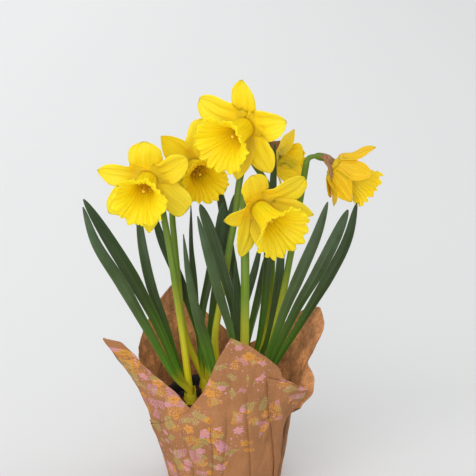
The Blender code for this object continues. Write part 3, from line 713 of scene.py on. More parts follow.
def split(tree, vector):
    """The outputs X, Y and Z of a vector."""
    return add_node(tree, "ShaderNodeSeparateXYZ", {0: vector}).outputs


def attribute(tree, name):
    return add_node(tree, "ShaderNodeAttribute", attribute_name=name).outputs["Fac"]


def noise_at(tree, place, scale, detail, output="Fac"):
    return add_node(
        tree, "ShaderNodeTexNoise", {"Vector": place, "Scale": scale, "Detail": detail}
    ).outputs[output]


def ramp(tree, factor, stops):
    """A colour ramp through (place, linear colour) stops."""
    made = add_node(tree, "ShaderNodeValToRGB", {"Fac": factor})
    elements = made.color_ramp.elements
    while len(elements) < len(stops):
        elements.new(0.5)
    for element, (place, colour) in zip(elements, stops):
        element.position = place
        element.color = (*colour, 1)
    return made.outputs["Color"]


def shades(tree, factor, colour, *stops):
    """A ramp through shades of one colour: each stop is its place and its share of the colour."""
    return ramp(tree, factor, [(place, scaled(colour, share)) for place, share in stops])


def mixed(tree, factor, a, b, blend="MIX"):
    """Two colours mixed."""
    made = add_node(tree, "ShaderNodeMix", {"Factor": factor}, data_type="RGBA", blend_type=blend)
    for socket, value in ((made.inputs[6], a), (made.inputs[7], b)):
        if isinstance(value, bpy.types.NodeSocket):
            tree.links.new(value, socket)
        else:
            socket.default_value = (*value, 1)
    return made.outputs[2]


def times_shade(tree, colour, shade):
    return mixed(tree, 1.0, colour, shade, "MULTIPLY")


def maths(tree, operation, *values, clamp=False):
    """One sum on numbers or sockets."""
    inputs = dict(enumerate(values))
    return add_node(tree, "ShaderNodeMath", inputs, operation=operation, use_clamp=clamp).outputs[0]


def times(tree, a, b):
    return maths(tree, "MULTIPLY", a, b)


def vector_maths(tree, operation, inputs):
    return add_node(tree, "ShaderNodeVectorMath", inputs, operation=operation).outputs


def between(tree, value, start, end, low, high):
    """A value's share of the way from start to end, as a place between low and high."""
    return add_node(
        tree, "ShaderNodeMapRange", {"Value": value, 1: start, 2: end, 3: low, 4: high}
    ).outputs[0]


def ranged(tree, value, low, high):
    """Noise about its middle, spread to between two values."""
    return between(tree, value, 0.3, 0.7, low, high)


def scaled(colour, share):
    return tuple(min(1.0, c * share) for c in colour)


def strands(tree, across, along, seed=0.0, detail=3.0):
    """Fine lines that run along a piece: noise stretched along the piece's UV, and that UV's parts."""
    place = split(tree, uv_place(tree))
    x, y = times(tree, place["X"], across), times(tree, place["Y"], along)
    stretched = add_node(tree, "ShaderNodeCombineXYZ", {0: x, 1: y, 2: seed})
    return noise_at(tree, stretched.outputs[0], 1.0, detail), place


# Materials


def petal_material(name, s, stops, across, relief, glow, vein_shade):
    """Living petal, thin and satin: light shines through it, and fine veins run from base to tip."""
    material, tree, shader = new_material(
        name, Roughness=0.55, IOR=1.35, Subsurface_Weight=glow, Subsurface_Radius=(1.0, 0.75, 0.1),
        Subsurface_Scale=0.004
    )
    veins, place = strands(tree, across, 1.6, times(tree, attribute(tree, "shade"), 37.0))
    # Painted shade: flowers that stand in shade are mixed towards a darker, deeper yellow, which is partly
    # their own deeper colour
    ripened_and_shaded = mixed(tree, attribute(tree, "ripe_and_shade"), ramp(tree, place["Y"], stops), tuple(s.ripe_and_shade_colour))
    shaded = times_shade(tree, ripened_and_shaded, ranged(tree, veins, 1 - vein_shade, 1 + vein_shade / 2))
    finish(tree, shader, shaded, veins, 0.5, relief)
    return material


def pollen_material(name, colour):
    """Ripe anthers: matt, with grains of pollen in two tones."""
    material, tree, shader = new_material(name, Roughness=0.8)
    dust = noise_at(tree, object_place(tree), 1500.0, 2.0)
    finish(tree, shader, shades(tree, dust, colour, (0.35, 0.7), (0.65, 1.3)))
    return material


def leaf_material(name, s, stops, rim_highlight_colour, painted_half_shade=0.0):
    """Waxy leaf or stem with parallel veins, grey bloom in places, a pale rim that is partly a painted
    highlight, and painted shade on one half.
    """
    material, tree, shader = new_material(name, Roughness=0.45, IOR=1.4, Specular_IOR_Level=0.35)
    shade = attribute(tree, "shade")
    veins, place = strands(tree, 60.0, 5.0, times(tree, shade, 53.0), 2.0)
    greens = times_shade(tree, ramp(tree, place["Y"], stops), ranged(tree, veins, 0.74, 1.22))
    clouds = ranged(tree, noise_at(tree, object_place(tree), 45.0, 3.0), 0.0, 0.42)
    bloom = times(tree, shade, times(tree, clouds, place["Y"]))
    waxed = mixed(tree, bloom, greens, tuple(s.bloom_colour))
    sideways = maths(tree, "COSINE", times(tree, place["X"], math.tau))
    # Painted shade that darkens one half of a leaf's width, on one side of its channel
    shaded_halves = times_shade(tree, waxed, maths(tree, "MULTIPLY_ADD", sideways, painted_half_shade, 1.0))
    # Pale rim: on a leaf partly its paler thin edge and partly a painted highlight; on a stem, painted
    # highlight lines along two sides
    rim = maths(tree, "POWER", maths(tree, "ABSOLUTE", sideways), RIM_HIGHLIGHT_POWER)
    edged = mixed(tree, times(tree, rim, 0.6), shaded_halves, rim_highlight_colour)
    finish(tree, shader, edged, veins, 0.4, 0.0003)
    return material


def sheath_material(name, colour):
    """Dry papery sheath: thin brown skin with pale streaks."""
    material, tree, shader = new_material(
        name, Roughness=0.7, Subsurface_Weight=0.2, Subsurface_Scale=0.001
    )
    streaks, _ = strands(tree, 30.0, 2.5)
    brown = shades(tree, streaks, colour, (0.3, 0.45), (0.5, 1.0), (0.7, 1.6))
    finish(tree, shader, brown, streaks, 0.6, 0.0004)
    return material


def moulded_material(name, colour):
    """Injection-moulded recycled plastic: near black, with a fine matt grain."""
    material, tree, shader = new_material(name, Roughness=0.5)
    place = object_place(tree)
    dust = noise_at(tree, place, 60.0, 4.0)
    tree.links.new(ranged(tree, dust, 0.4, 0.7), shader.inputs["Roughness"])
    tint = shades(tree, dust, colour, (0.35, 1.0), (0.75, 2.2))
    finish(tree, shader, tint, noise_at(tree, place, 900.0, 2.0), 0.3, 0.0001)
    return material


def soil_material(name, colour):
    """Damp peat and composted bark: dark, rough and uneven."""
    material, tree, shader = new_material(name, Roughness=0.9)
    crumbs = noise_at(tree, object_place(tree), 260.0, 6.0)
    brown = shades(tree, crumbs, colour, (0.3, 0.35), (0.5, 1.0), (0.68, 2.2))
    finish(tree, shader, brown, crumbs, 0.9, 0.001)
    return material


def motif_layer(tree, uv, spacing, seed, keep):
    """Scattered cells about a spacing apart, in metres: the place in each cell, and which are kept."""
    moved = vector_maths(
        tree, "MULTIPLY_ADD", {0: uv, 1: (1 / spacing,) * 3, 2: (seed, seed * 1.7, 0)}
    )[0]
    cells = add_node(
        tree, "ShaderNodeTexVoronoi", {"Vector": moved, "Scale": 1.0, "Randomness": 0.95},
        voronoi_dimensions="2D"
    ).outputs
    away = vector_maths(tree, "SUBTRACT", {0: moved, 1: cells["Position"]})[0]
    draw = add_node(tree, "ShaderNodeSeparateColor", {0: cells["Color"]}).outputs
    turned = add_node(
        tree, "ShaderNodeVectorRotate", {"Vector": away, "Angle": times(tree, draw[2], math.tau)},
        rotation_type="Z_AXIS"
    ).outputs[0]
    size = maths(tree, "MULTIPLY_ADD", draw[1], 0.8 * spacing, 0.75 * spacing)
    local = vector_maths(tree, "SCALE", {0: turned, "Scale": size})[0]
    return local, maths(tree, "LESS_THAN", draw[0], keep)


def rosette_mask(tree, local, radius, petals, depth):
    """1 inside a flower of round petals, 0 outside, and the distance from its centre."""
    place = split(tree, local)
    away = vector_maths(tree, "LENGTH", {0: local})["Value"]
    angle = maths(tree, "ARCTAN2", place["Y"], place["X"])
    wave = maths(tree, "ABSOLUTE", maths(tree, "COSINE", times(tree, angle, petals / 2)))
    edge = maths(tree, "MULTIPLY_ADD", wave, radius * depth, radius * (1 - depth))
    return maths(tree, "LESS_THAN", away, edge), away


def dots_mask(tree, uv, local, radius, dot):
    """1 on the small dots that fill a round patch."""
    away = vector_maths(tree, "LENGTH", {0: local})["Value"]
    dots = add_node(
        tree, "ShaderNodeTexVoronoi", {"Vector": uv, "Scale": 1 / dot, "Randomness": 0.5},
        voronoi_dimensions="2D"
    ).outputs["Distance"]
    return times(tree, maths(tree, "LESS_THAN", away, radius), maths(tree, "LESS_THAN", dots, 0.4))


def sprig_mask(tree, local, length, leaflet):
    """1 on a straight sprig with paired leaflets that lean forward."""
    place = split(tree, local)
    side = maths(tree, "ABSOLUTE", place["Y"])
    inside = maths(tree, "LESS_THAN", maths(tree, "ABSOLUTE", place["X"]), length / 2)
    stalk = maths(tree, "LESS_THAN", side, 0.0002)
    step = maths(tree, "PINGPONG", maths(tree, "MULTIPLY_ADD", side, -0.9, place["X"]), leaflet)

    def squared(value, middle, half):
        away = maths(tree, "DIVIDE", maths(tree, "SUBTRACT", value, middle), half)
        return maths(tree, "POWER", away, 2.0)

    oval = maths(
        tree, "ADD", squared(step, leaflet / 2, leaflet * 0.38), squared(side, leaflet * 0.85, leaflet * 0.75)
    )
    leaflets = maths(tree, "LESS_THAN", oval, 1.0)
    return times(tree, maths(tree, "MAXIMUM", stalk, leaflets), inside)


def printed(tree, s, uv, look, ink):
    """The paper's colour with its three inks over it: sprigs, patches of dots, rosettes, small flowers."""
    pink, ochre, olive = tuple(s.pink_colour), tuple(s.ochre_colour), tuple(s.olive_colour)

    def stamp(mask, kept, colour):
        nonlocal look
        look = mixed(tree, times(tree, times(tree, mask, kept), ink), look, colour)

    def sprigs(spacing, seed, keep, length, leaflet, colour):
        local, kept = motif_layer(tree, uv, spacing, seed, keep)
        stamp(sprig_mask(tree, local, length, leaflet), kept, colour)

    def rosettes(spacing, seed, keep, radius, petals, depth, colour, eye=0.0, eye_colour=None):
        local, kept = motif_layer(tree, uv, spacing, seed, keep)
        mask, away = rosette_mask(tree, local, radius, petals, depth)
        stamp(mask, kept, colour)
        if eye:
            stamp(maths(tree, "LESS_THAN", away, eye), kept, eye_colour)

    sprigs(0.0155, 5.3, 0.5, 0.014, 0.0025, olive)
    local, kept = motif_layer(tree, uv, 0.0185, 2.6, 0.45)
    stamp(dots_mask(tree, uv, local, 0.0068, 0.0023), kept, ochre)
    sprigs(0.0205, 7.1, 0.4, 0.017, 0.0029, scaled(pink, 0.9))
    rosettes(0.0175, 1.9, 0.34, 0.005, 5, 0.35, ochre, 0.001, scaled(ochre, 0.6))
    rosettes(0.0175, 8.4, 0.42, 0.0058, 6, 0.35, pink, 0.0013, scaled(ochre, 0.95))
    rosettes(0.0048, 3.1, 0.28, 0.0009, 4, 0.2, scaled(pink, 1.1))
    return look


def kraft_material(name, s):
    """Unbleached kraft paper, creased, with a small scattered flower print in three worn matt inks, and
    painted shade in its creases and under the tucked corner.
    """
    material, tree, shader = new_material(name, Roughness=0.82, Specular_IOR_Level=0.15)
    place = object_place(tree)
    fibre = noise_at(tree, place, 700.0, 4.0)
    blotch = noise_at(tree, place, 35.0, 3.0)
    drift = noise_at(tree, place, 22.0, 2.0)
    kraft = tuple(s.kraft_colour)
    paper = shades(tree, fibre, kraft, (0.3, 0.86), (0.5, 1.0), (0.72, 1.14))
    paper = times_shade(tree, paper, ranged(tree, blotch, 0.9, 1.08))
    parts = split(tree, place)
    edge = maths(tree, "MULTIPLY_ADD", drift, 0.06, maths(tree, "MULTIPLY_ADD", parts["X"], 0.9, 0.018))
    above = maths(tree, "GREATER_THAN", parts["Z"], edge)
    inked = times(tree, above, maths(tree, "GREATER_THAN", drift, 0.4))
    look = printed(tree, s, uv_place(tree), paper, times(tree, inked, ranged(tree, fibre, 0.5, 0.9)))
    # Painted shade: the paper is darkened along the folds' creases and on the tucked corner
    look = mixed(tree, times(tree, attribute(tree, "crease_shade"), 0.75), look, scaled(kraft, 0.22))
    relief = maths(tree, "MULTIPLY_ADD", noise_at(tree, place, 120.0, 3.0), 3.0, fibre)
    finish(tree, shader, look, relief, 0.5, 0.0003)
    return material


def kraft_inside_material(name, s):
    """The bare side of the paper: browner, and crazed with fine creases from crumpling."""
    material, tree, shader = new_material(name, Roughness=0.7)
    place = object_place(tree)
    bent = noise_at(tree, place, 90.0, 3.0, "Color")
    moved = vector_maths(tree, "MULTIPLY_ADD", {0: bent, 1: (0.02,) * 3, 2: place})[0]
    creases = add_node(
        tree, "ShaderNodeTexVoronoi", {"Vector": moved, "Scale": 210.0}, feature="DISTANCE_TO_EDGE"
    ).outputs["Distance"]
    tone = noise_at(tree, moved, 130.0, 5.0)
    base = shades(tree, tone, tuple(s.inside_colour), (0.3, 0.72), (0.5, 1.0), (0.7, 1.3))
    lines = between(tree, creases, 0.0, 0.09, 1.35, 0.94)
    scratches, _ = strands(tree, 130.0, 22.0, 4.0, 5.0)
    look = times_shade(tree, times_shade(tree, base, lines), ranged(tree, scratches, 0.6, 1.45))
    relief = maths(tree, "ADD", tone, maths(tree, "ADD", scratches, lines))
    finish(tree, shader, look, relief, 0.6, 0.0006)
    return material


def floor_material(name, colour):
    """Matt painted studio floor, with painted shade that makes it a little darker to the right."""
    material, tree, shader = new_material(name, Roughness=0.9, Specular_IOR_Level=0.0)
    across = split(tree, object_place(tree))["X"]
    # Painted shade: the floor goes from a little lighter on the left to darker on the right
    share = maths(tree, "MULTIPLY_ADD", across, 0.6, 0.45, clamp=True)
    finish(tree, shader, mixed(tree, share, scaled(colour, 1.04), scaled(colour, 0.89)))
    return material


# Flowers


TUBE_ROUTE = smooth_route(
    [(2.0, 0, -TUBE_LONG), (TUBE_BACK_R, 0, 1 - TUBE_LONG), (TUBE_BACK_R + 0.6, 0, -0.5 * TUBE_LONG),
     (TUBE_FACE_R - 2.4, 0, -3.0), (TUBE_FACE_R, 0, 0.6)], TUBE_STEPS
)


def flower_frame(flower):
    """The matrix that takes a flower's own frame, in which it looks along +Z, to the plant's."""
    return (
        Matrix.Translation(flower.place)
        @ Vector(flower.axis).to_track_quat("Z", "Y").to_matrix().to_4x4()
        @ Matrix.Rotation(math.radians(flower.turn), 4, "Z")
        @ Matrix.Scale(flower.size, 4)
    )


def petal_width(s, form):
    """A petal's width at a share of its length, against its full width."""
    grown = form.full + (1 - form.full) * math.sin(math.pi / 2 * min(1, s / PETAL_WIDEST))
    taper = clamped((s - PETAL_WIDEST) / (1 - PETAL_WIDEST))
    return max(0.05, grown * (1 - taper ** (3.2 - 1.9 * form.point)) ** (0.5 + 0.35 * form.point))


def add_petal(bm, place, index, petal, form):
    """One petal with its midrib, pleats, soft waves and point."""
    whorl = WHORLS[index % 2]
    wide = PETAL_WIDE * petal.wide * form.wide * whorl.wide
    slope = math.radians(petal.lean + whorl.lean)
    spin = Matrix.Rotation(math.radians(60 * index + 90 + petal.turn + form.turn), 3, "Z")
    long = PETAL_LONG * petal.long * form.long
    phase = 1.7 * index + 10 * petal.long + petal.lean

    def point(u, t):
        u = 2 * u - 1
        s = 1 - (1 - t) ** 1.25
        run = (long - PETAL_ROOT_R) * s
        raised = max(0, run - PETAL_FLAT)
        out = eased(raised / PETAL_RISE)
        bend = math.radians(form.curl) * max(0, s - CURL_FROM) ** 2 * 2.4
        half = wide * petal_width(s, form) / 2 * (1 + 0.07 * wander(5 * s, 2 * u, phase))
        folded = math.radians(form.fold) * out
        side = u * half * math.cos(folded) + form.sway * s * s
        rise = abs(u) * half * math.sin(folded)
        bow = PETAL_BOW * math.sin(math.pi * min(1, raised / BOW_RUN))
        rib = MIDRIB * math.exp(-((u / 0.1) ** 2)) * (1 - s)
        rib -= SIDE_RIB * math.exp(-(((abs(u) - 0.3) / 0.12) ** 2))
        pleats = form.pleat * math.cos(3 * math.pi * u + 0.6 * math.sin(4 * s + phase)) * (1.1 - s)
        pleats += 0.3 * form.pleat * math.cos(7 * math.pi * u + 1.1 * math.sin(3 * s + 2 * phase))
        wave = PETAL_WAVE * u * abs(u) * math.sin(7 * s + phase + 1.5 * u)
        wave += PETAL_DENT * wander(2.5 * u + phase, 4 * s, index)
        calm = min(1, half / CALM_UNDER)
        lie = rise + (bow + whorl.cup * half * u * u + (wave + rib + pleats) * calm) * out
        r = PETAL_ROOT_R + run - raised * (1 - math.cos(slope + bend))
        return place @ (spin @ Vector((r, side, whorl.lift + raised * math.sin(slope + bend) + lie)))

    add_sheet(bm, *PETAL_GRID, point, shade=0.13 + 0.12 * index)


def build_petals(name, flower, s, material):
    """A flower's tube and its six petals."""
    place = flower_frame(flower)
    bm = bmesh.new()
    rows = len(TUBE_ROUTE) - 1

    def tube_point(angle, t):
        r, _, z = TUBE_ROUTE[round(t * rows)]
        return place @ at(r * (1 + TUBE_RIDGE * math.cos(3 * angle)), angle, z)

    add_tube(bm, TUBE_AROUND, rows, tube_point, shade=0.9)
    for index, (petal, form) in enumerate(zip(flower.petals, FORMS[name])):
        add_petal(bm, place, index, petal, form)
    mark(bm, "ripe_and_shade", RIPE_AND_SHADE[name][0])
    fine_object(f"petals_{name}", bm, [material], s.petal_thickness)


def trumpet_point(flower, angle, h, phase):
    """A point on the trumpet's wall, from a narrow cup to a flared mouth with an unevenly torn frill."""
    x, y = math.cos(angle), math.sin(angle)
    flare = TRUMPET_SWELL * h + (flower.mouth_r - TRUMPET_BASE_R - TRUMPET_SWELL) * h**4
    uneven = 1 + 0.9 * wander(2.3 * x, 2.3 * y, phase)
    frill = math.cos(FRILLS * angle + 2.2 * wander(2 * x, 2 * y, phase + 4))
    fluted = FLUTES * angle + 3.5 * wander(2.6 * x, 2.6 * y, phase + 9)
    flute, lobe = math.cos(fluted), math.cos(LOBES * angle)
    ruffle = FRILL * (0.8 * h**4 * lobe + 0.6 * uneven * h**6 * frill)
    ribs = math.sin(math.pi * min(1, 1.3 * h)) * (0.45 * lobe + 0.3 * math.cos(3 * LOBES * angle))
    ribs += 0.75 * h**2 * flute
    tooth = FRILL * h**8 * (0.75 * uneven * frill + 0.9 * abs(math.sin(fluted)) - 0.3)
    tooth += FRILL * h**16 * 1.5 * wander(12 * x, 12 * y, phase + 2) - 0.5 * h**3 * flute
    tooth += 2.2 * h**6 * wander(3 * x, 3 * y, phase + 8)
    tooth -= FRILL * 0.6 * h**5 * lobe + 1.2 * h**3 * wander(1.6 * x, 1.6 * y, phase + 6)
    r = TRUMPET_BASE_R + flare + ruffle + ribs
    return Vector((r * x, r * y, TRUMPET_FLOOR_Z + flower.trumpet_long * h + tooth - 1.2 * h**24))


def build_trumpet(name, flower, s, outside, inside):
    """A flower's trumpet, one thin wall from its closed foot to its frilled mouth."""
    place = flower_frame(flower)
    phase = 13.7 * flower.size + flower.turn
    bm = bmesh.new()

    def point(angle, t):
        if t == 0:
            return place @ Vector((0, 0, TRUMPET_FLOOR_Z))
        return place @ trumpet_point(flower, angle, ((t - 0.02) / 0.98) ** 0.8, phase)

    add_tube(bm, *TRUMPET_GRID, point, shade=0.4)
    closed(bm)
    mark(bm, "ripe_and_shade", RIPE_AND_SHADE[name][1])
    fine_object(f"trumpet_{name}", bm, [outside, inside], s.trumpet_thickness)


def build_stamens(name, flower, material):
    """Six stamens with long pollen heads, and the style with its three-lobed tip."""
    place = flower_frame(flower)
    bm = bmesh.new()
    rows = SPIKE_GRID[1]

    def add_spike(foot, height, form):
        def point(angle, t):
            if t in (0, 1):
                return place @ (foot + Vector((0, 0, t * height)))
            up = (t - 1 / rows) / (1 - 2 / rows) * height
            swell = math.sin(math.pi * clamped((up - height + form.head_long) / form.head_long)) ** 0.6
            r = form.stalk + (form.head - form.stalk) * swell
            r *= 1 + form.lobes * math.cos(3 * angle) * swell
            lean = STAMEN_LEAN * up
            return place @ (foot + Vector((foot.x * lean, foot.y * lean, 0)) + at(r, angle, up))

        add_tube(bm, *SPIKE_GRID, point)

    for i in range(STAMENS):
        foot = at(STAMEN_RING_R, math.tau * (i + 0.5) / STAMENS, TRUMPET_FLOOR_Z)
        add_spike(foot, STAMEN_LONG + STAMEN_STEP * (i % 2), STAMEN)
    add_spike(Vector((0, 0, TRUMPET_FLOOR_Z)), STYLE_LONG, STYLE)
    new_object(f"stamens_{name}", closed(bm), [material])


def stem_route(name, flower):
    """A stem in three stretches: the upright scape, the bent neck, and the ovary from back to front.

    Each stretch is a list of points with the stem's radius there.
    """
    root = Vector((*BULBS[name], BULB_NECK_Z + FOOT_GAP))
    ahead = Vector(flower.axis).normalized()
    tail = Vector(flower.tail).normalized()
    level = Vector((ahead.x, ahead.y, 0)).normalized()
    front = Vector(flower.place) - ahead * (TUBE_LONG * flower.size + STEM_GAP)
    middle = front - ahead * OVARY_LONG / 2
    back = middle - tail * OVARY_LONG / 2
    ovary = [
        (back * (1 - t) ** 2 + middle * 2 * t * (1 - t) + front * t * t, OVARY_R * share)
        for t, share in OVARY_OUTLINE
    ]
    shoulder = back - level * flower.reach - Vector((0, 0, NECK_DROP))
    lift = root + Vector((0, 0, SCAPE_UPRIGHT))
    points = [root] + smooth_route([lift] + flower.points + [shoulder], SCAPE_STEPS)
    shrink = (1 - SCAPE_TOP_SHARE) / len(points)
    upright = [(p, flower.stem_r * (1 - shrink * i)) for i, p in enumerate(points)]
    rise = (points[-1] - points[-2]).normalized()
    pull = NECK_PULL * (back - shoulder).length
    neck = []
    for i in range(1, NECK_STEPS):
        t = i / NECK_STEPS
        point = (
            shoulder * (1 - t) ** 3 + (shoulder + rise * pull) * 3 * t * (1 - t) ** 2
            + (back - tail * pull) * 3 * t * t * (1 - t) + back * t**3
        )
        neck.append((point, upright[-1][1] * (1 - t) + PEDICEL_R * t))
    return upright, neck, ovary


def build_stem(name, flower, material):
    """The scape up from the bulb, its bent neck and the three-sided ovary, as one tube."""
    upright, neck, ovary = stem_route(name, flower)
    knots = upright + neck + ovary
    points = [p for p, _ in knots]
    route = smooth_route(points, BLADE_STEPS)
    marks = lengths(points)

    def radius_at(share):
        want = share * marks[-1]
        for i, (low, high) in enumerate(zip(marks, marks[1:])):
            if want <= high:
                part = eased((want - low) / (high - low))
                return knots[i][1] * (1 - part) + knots[i + 1][1] * part
        return knots[-1][1]

    ovary_from = 1 - OVARY_LONG / marks[-1]
    side = Vector((1, 0, 0))
    rings = []
    for i, p in enumerate(route):
        along = tangent_at(route, i)
        side = (side - along * side.dot(along)).normalized()
        rings.append((p, side.copy(), along.cross(side), radius_at(i / BLADE_STEPS)))

    def point(angle, t):
        i = round(t * (BLADE_STEPS + 2)) - 1
        centre, across, up, r = rings[min(BLADE_STEPS, max(0, i))]
        if i in (-1, BLADE_STEPS + 1):
            return centre
        in_ovary = i / BLADE_STEPS > ovary_from
        ribbed = OVARY_RIB * math.cos(3 * angle) if in_ovary else SCAPE_RIB * math.cos(2 * angle + 0.8)
        return centre + (across * math.cos(angle) + up * math.sin(angle)) * (r * (1 + ribbed))

    bm = bmesh.new()
    add_tube(bm, STEM_AROUND, BLADE_STEPS + 2, point, shade=BLOOM[f"stem_{name}"])
    fine_object(f"stem_{name}", closed(bm), [material])


def build_spathe(name, flower, material):
    """The dry sheath that clasps the bend of the stem, creased and torn along its edge."""
    upright, neck, ovary = stem_route(name, flower)
    foot_r = neck[1][1]
    rows = SHEATH_GRID[1]
    past = Vector(flower.axis).normalized() * SHEATH_OVER.get(name, 0.5)
    route = smooth_route([p for p, _ in neck[1:] + ovary] + [ovary[-1][0] + past], rows)
    rise = (upright[-1][0] - upright[-2][0]).normalized()
    outside = rise - Vector(flower.tail).normalized()
    phase = flower.turn
    bare = SHEATH_BARE.get(name, 0)

    def point(u, t):
        t = bare + (1 - bare) * t
        i = round(t * rows)
        along = tangent_at(route, i)
        out = (outside - along * outside.dot(along)).normalized()
        side = along.cross(out)
        u = 2 * u - 1
        half_turn = math.radians(SHEATH_HALF - SHEATH_NARROWS * t**2 + 8 * wander(5 * t, 1, phase))
        grown = eased((t - bare) / (1 - bare) * 1.6)
        r = foot_r + 0.6 + (OVARY_R - foot_r + 0.3) * grown + 0.9 * t * abs(u)
        r += SHEATH_CREASE * wander(6 * u, 7 * t, phase)
        torn = along * (SHEATH_TEAR * wander(4 * u, 2, phase) * t)
        return route[i] + torn + (out * math.cos(u * half_turn) + side * math.sin(u * half_turn)) * r

    bm = bmesh.new()
    add_sheet(bm, *SHEATH_GRID, point)
    if name in SHEATH_TIPS:
        wide, points = SHEATH_TIPS[name]
        tip = smooth_route(points, rows)

        def tip_point(u, t):
            half = wide / 2 * (1 - t**1.2) + 0.4
            around = math.radians(70) * (2 * u - 1) + 0.5 * math.sin(5 * t)
            return tip[round(t * rows)] + Vector((half * math.sin(around), -0.7 * half * math.cos(around), 0))

        add_sheet(bm, SHEATH_GRID[0] // 2, rows, tip_point)
    fine_object(f"spathe_{name}", bm, [material], SHEATH_THICK)


# Leaves, bulbs, soil and pot


def leaf_width(leaf, t):
    """A leaf's width at a share of its length, against its full width."""
    grown = LEAF_BASE_SHARE + (1 - LEAF_BASE_SHARE) * min(1, t / leaf.taper) ** 1.6
    drawn_in = max(0.0, (t - leaf.taper) / (1 - leaf.taper))
    return max(0.12, grown * (1 - drawn_in ** (LEAF_BLUNT * leaf.taper)) ** 0.55)


def bulb_of(leaf_name):
    return leaf_name.rpartition("_")[0]


def build_leaf(name, leaf, s, material):
    """One strap leaf: thick along its channelled middle, with thin round edges and a blunt tip."""
    x, y = BULBS[bulb_of(name)]
    root = Vector((x + leaf.offset[0], y + leaf.offset[1], BULB_NECK_Z + FOOT_GAP))
    route = smooth_route([root, root + Vector((0, 0, LEAF_UPRIGHT))] + leaf.points, BLADE_STEPS)
    thick = s.thickness / MM

    def point(angle, t):
        i = min(BLADE_STEPS, max(0, round(t * (BLADE_STEPS + 2)) - 1))
        share = i / BLADE_STEPS
        along = tangent_at(route, i) if i > 2 else Vector((0, 0, 1))
        side = along.cross(Vector(leaf.low_face).lerp(Vector(leaf.tip_face), share)).normalized()
        face = side.cross(along)
        sunk = LEAF_CHANNEL * leaf.width * eased(share / 0.3) * (1 - share**3)
        if t in (0, 1):
            return route[i] - face * (0.5 * sunk)
        u = math.cos(angle)
        half = leaf.width * leaf_width(leaf, share) / 2
        body = thick / 2 * (1 - LEAF_EDGE_THIN * u * u) * (1 - LEAF_TIP_THIN * share)
        body *= math.copysign(abs(math.sin(angle)) ** 0.6, math.sin(angle))
        groove = sunk * (1.25 * math.sqrt(u * u + 0.02) - 0.6)
        ripple = LEAF_RIPPLE * u * wander(7 * share, leaf.width, leaf.offset[1])
        return route[i] + side * (u * half) + face * (groove + body + ripple)

    bm = bmesh.new()
    add_tube(bm, LEAF_AROUND, BLADE_STEPS + 2, point, shade=BLOOM[name])
    fine_object(f"leaf_{name}", closed(bm), [material])


def build_bulb(name, centre, skin, neck_skin):
    """A bulb in its papery skin, with the pale sheath that its leaves and stem come out of."""
    foot = Vector((*centre, BULB_FOOT_Z))
    top = BULB_OUTLINE[-1][1]
    outline = smooth_route([(0.1, 0, 0)] + [(r, 0, h) for r, h in BULB_OUTLINE] + [(6.0, 0, top)], BULB_STEPS)

    def bulb_point(angle, t):
        i = round(t * (BULB_STEPS + 2)) - 1
        if i in (-1, BULB_STEPS + 1):
            return foot + Vector((0, 0, 0 if i < 0 else top))
        r, _, h = outline[i]
        r += SKIN_RELIEF * math.cos(SKIN_RIDGES * angle + 2 * math.sin(3 * angle)) * min(1, r / 6) - 0.2
        return foot + at(r, angle, h)

    bm = bmesh.new()
    add_tube(bm, BULB_AROUND, BULB_STEPS + 2, bulb_point)
    fine_object(f"bulb_{name}", closed(bm), [skin])

    x, y = centre
    reach = max(math.hypot(*leaf.offset) for key, leaf in LEAVES.items() if bulb_of(key) == name)

    def sheath_point(angle, t):
        wide = NECK_WIDE - 1.4 * t
        deep = reach + NECK_ROOM - 1.6 * t
        rim = NECK_HIGH + 2.2 * math.sin(angle + x) + 1.5 * math.sin(2 * angle + y)
        creased = 1 + 0.03 * math.cos(9 * angle)
        return Vector((x + wide * creased * math.cos(angle), y + deep * creased * math.sin(angle),
                       BULB_NECK_Z - NECK_SUNK + rim * t))

    bm = bmesh.new()
    add_tube(bm, *NECK_GRID, sheath_point)
    new_object(f"neck_sheath_{name}", closed(bm), [neck_skin], NECK_THICK)


def soil_top(r):
    return SOIL_Z + SOIL_CROWN * (1 - (r / SOIL_R) ** 2)


def build_soil(material):
    """The soil's body with its lumpy top."""

    def point(angle, t):
        if t == 0:
            return Vector((0, 0, SOIL_Z - SOIL_DEEP))
        if t == 1:
            return Vector((0, 0, SOIL_Z + SOIL_CROWN))
        r = SOIL_R * (1 - max(0.0, (t - 0.06) / 0.94)) - 1.2
        if t < 0.04:
            return at(r, angle, SOIL_Z - SOIL_DEEP)
        spot = at(r, angle, soil_top(r) - 0.6)
        spot.z += 1.1 * wander(spot.x / 9, spot.y / 9, 1) + 0.7 * wander(spot.x / 3.2, spot.y / 3.2, 2)
        return spot

    bm = bmesh.new()
    add_tube(bm, *SOIL_GRID, point)
    fine_object("soil", closed(bm), [material])


def scatter(name, count, size, seed, material, flat=0.6):
    """Loose grains over the soil, each an uneven lump of its own."""
    rng = random.Random(seed)
    noise.seed_set(seed)
    bm = bmesh.new()
    for _ in range(count):
        r = SCATTER_R * math.sqrt(rng.random())
        angle = math.tau * rng.random()
        grain = size / MM * (0.35 + 0.65 * rng.random() ** 2) / 2
        turn = Matrix.Rotation(math.tau * rng.random(), 4, Vector((rng.random(), rng.random(), 1)))
        shape = Matrix.Diagonal((grain, grain * (0.5 + 0.5 * rng.random()), grain * flat, 1))
        place = Matrix.Translation(at(r, angle, soil_top(r) + grain * 0.2))
        made = bmesh.ops.create_icosphere(bm, subdivisions=1, radius=1, matrix=place @ turn @ shape)
        for vert in made["verts"]:
            vert.co += 0.25 * grain * noise.noise_vector(vert.co * (0.9 / grain))
    new_object(name, bm, [material])


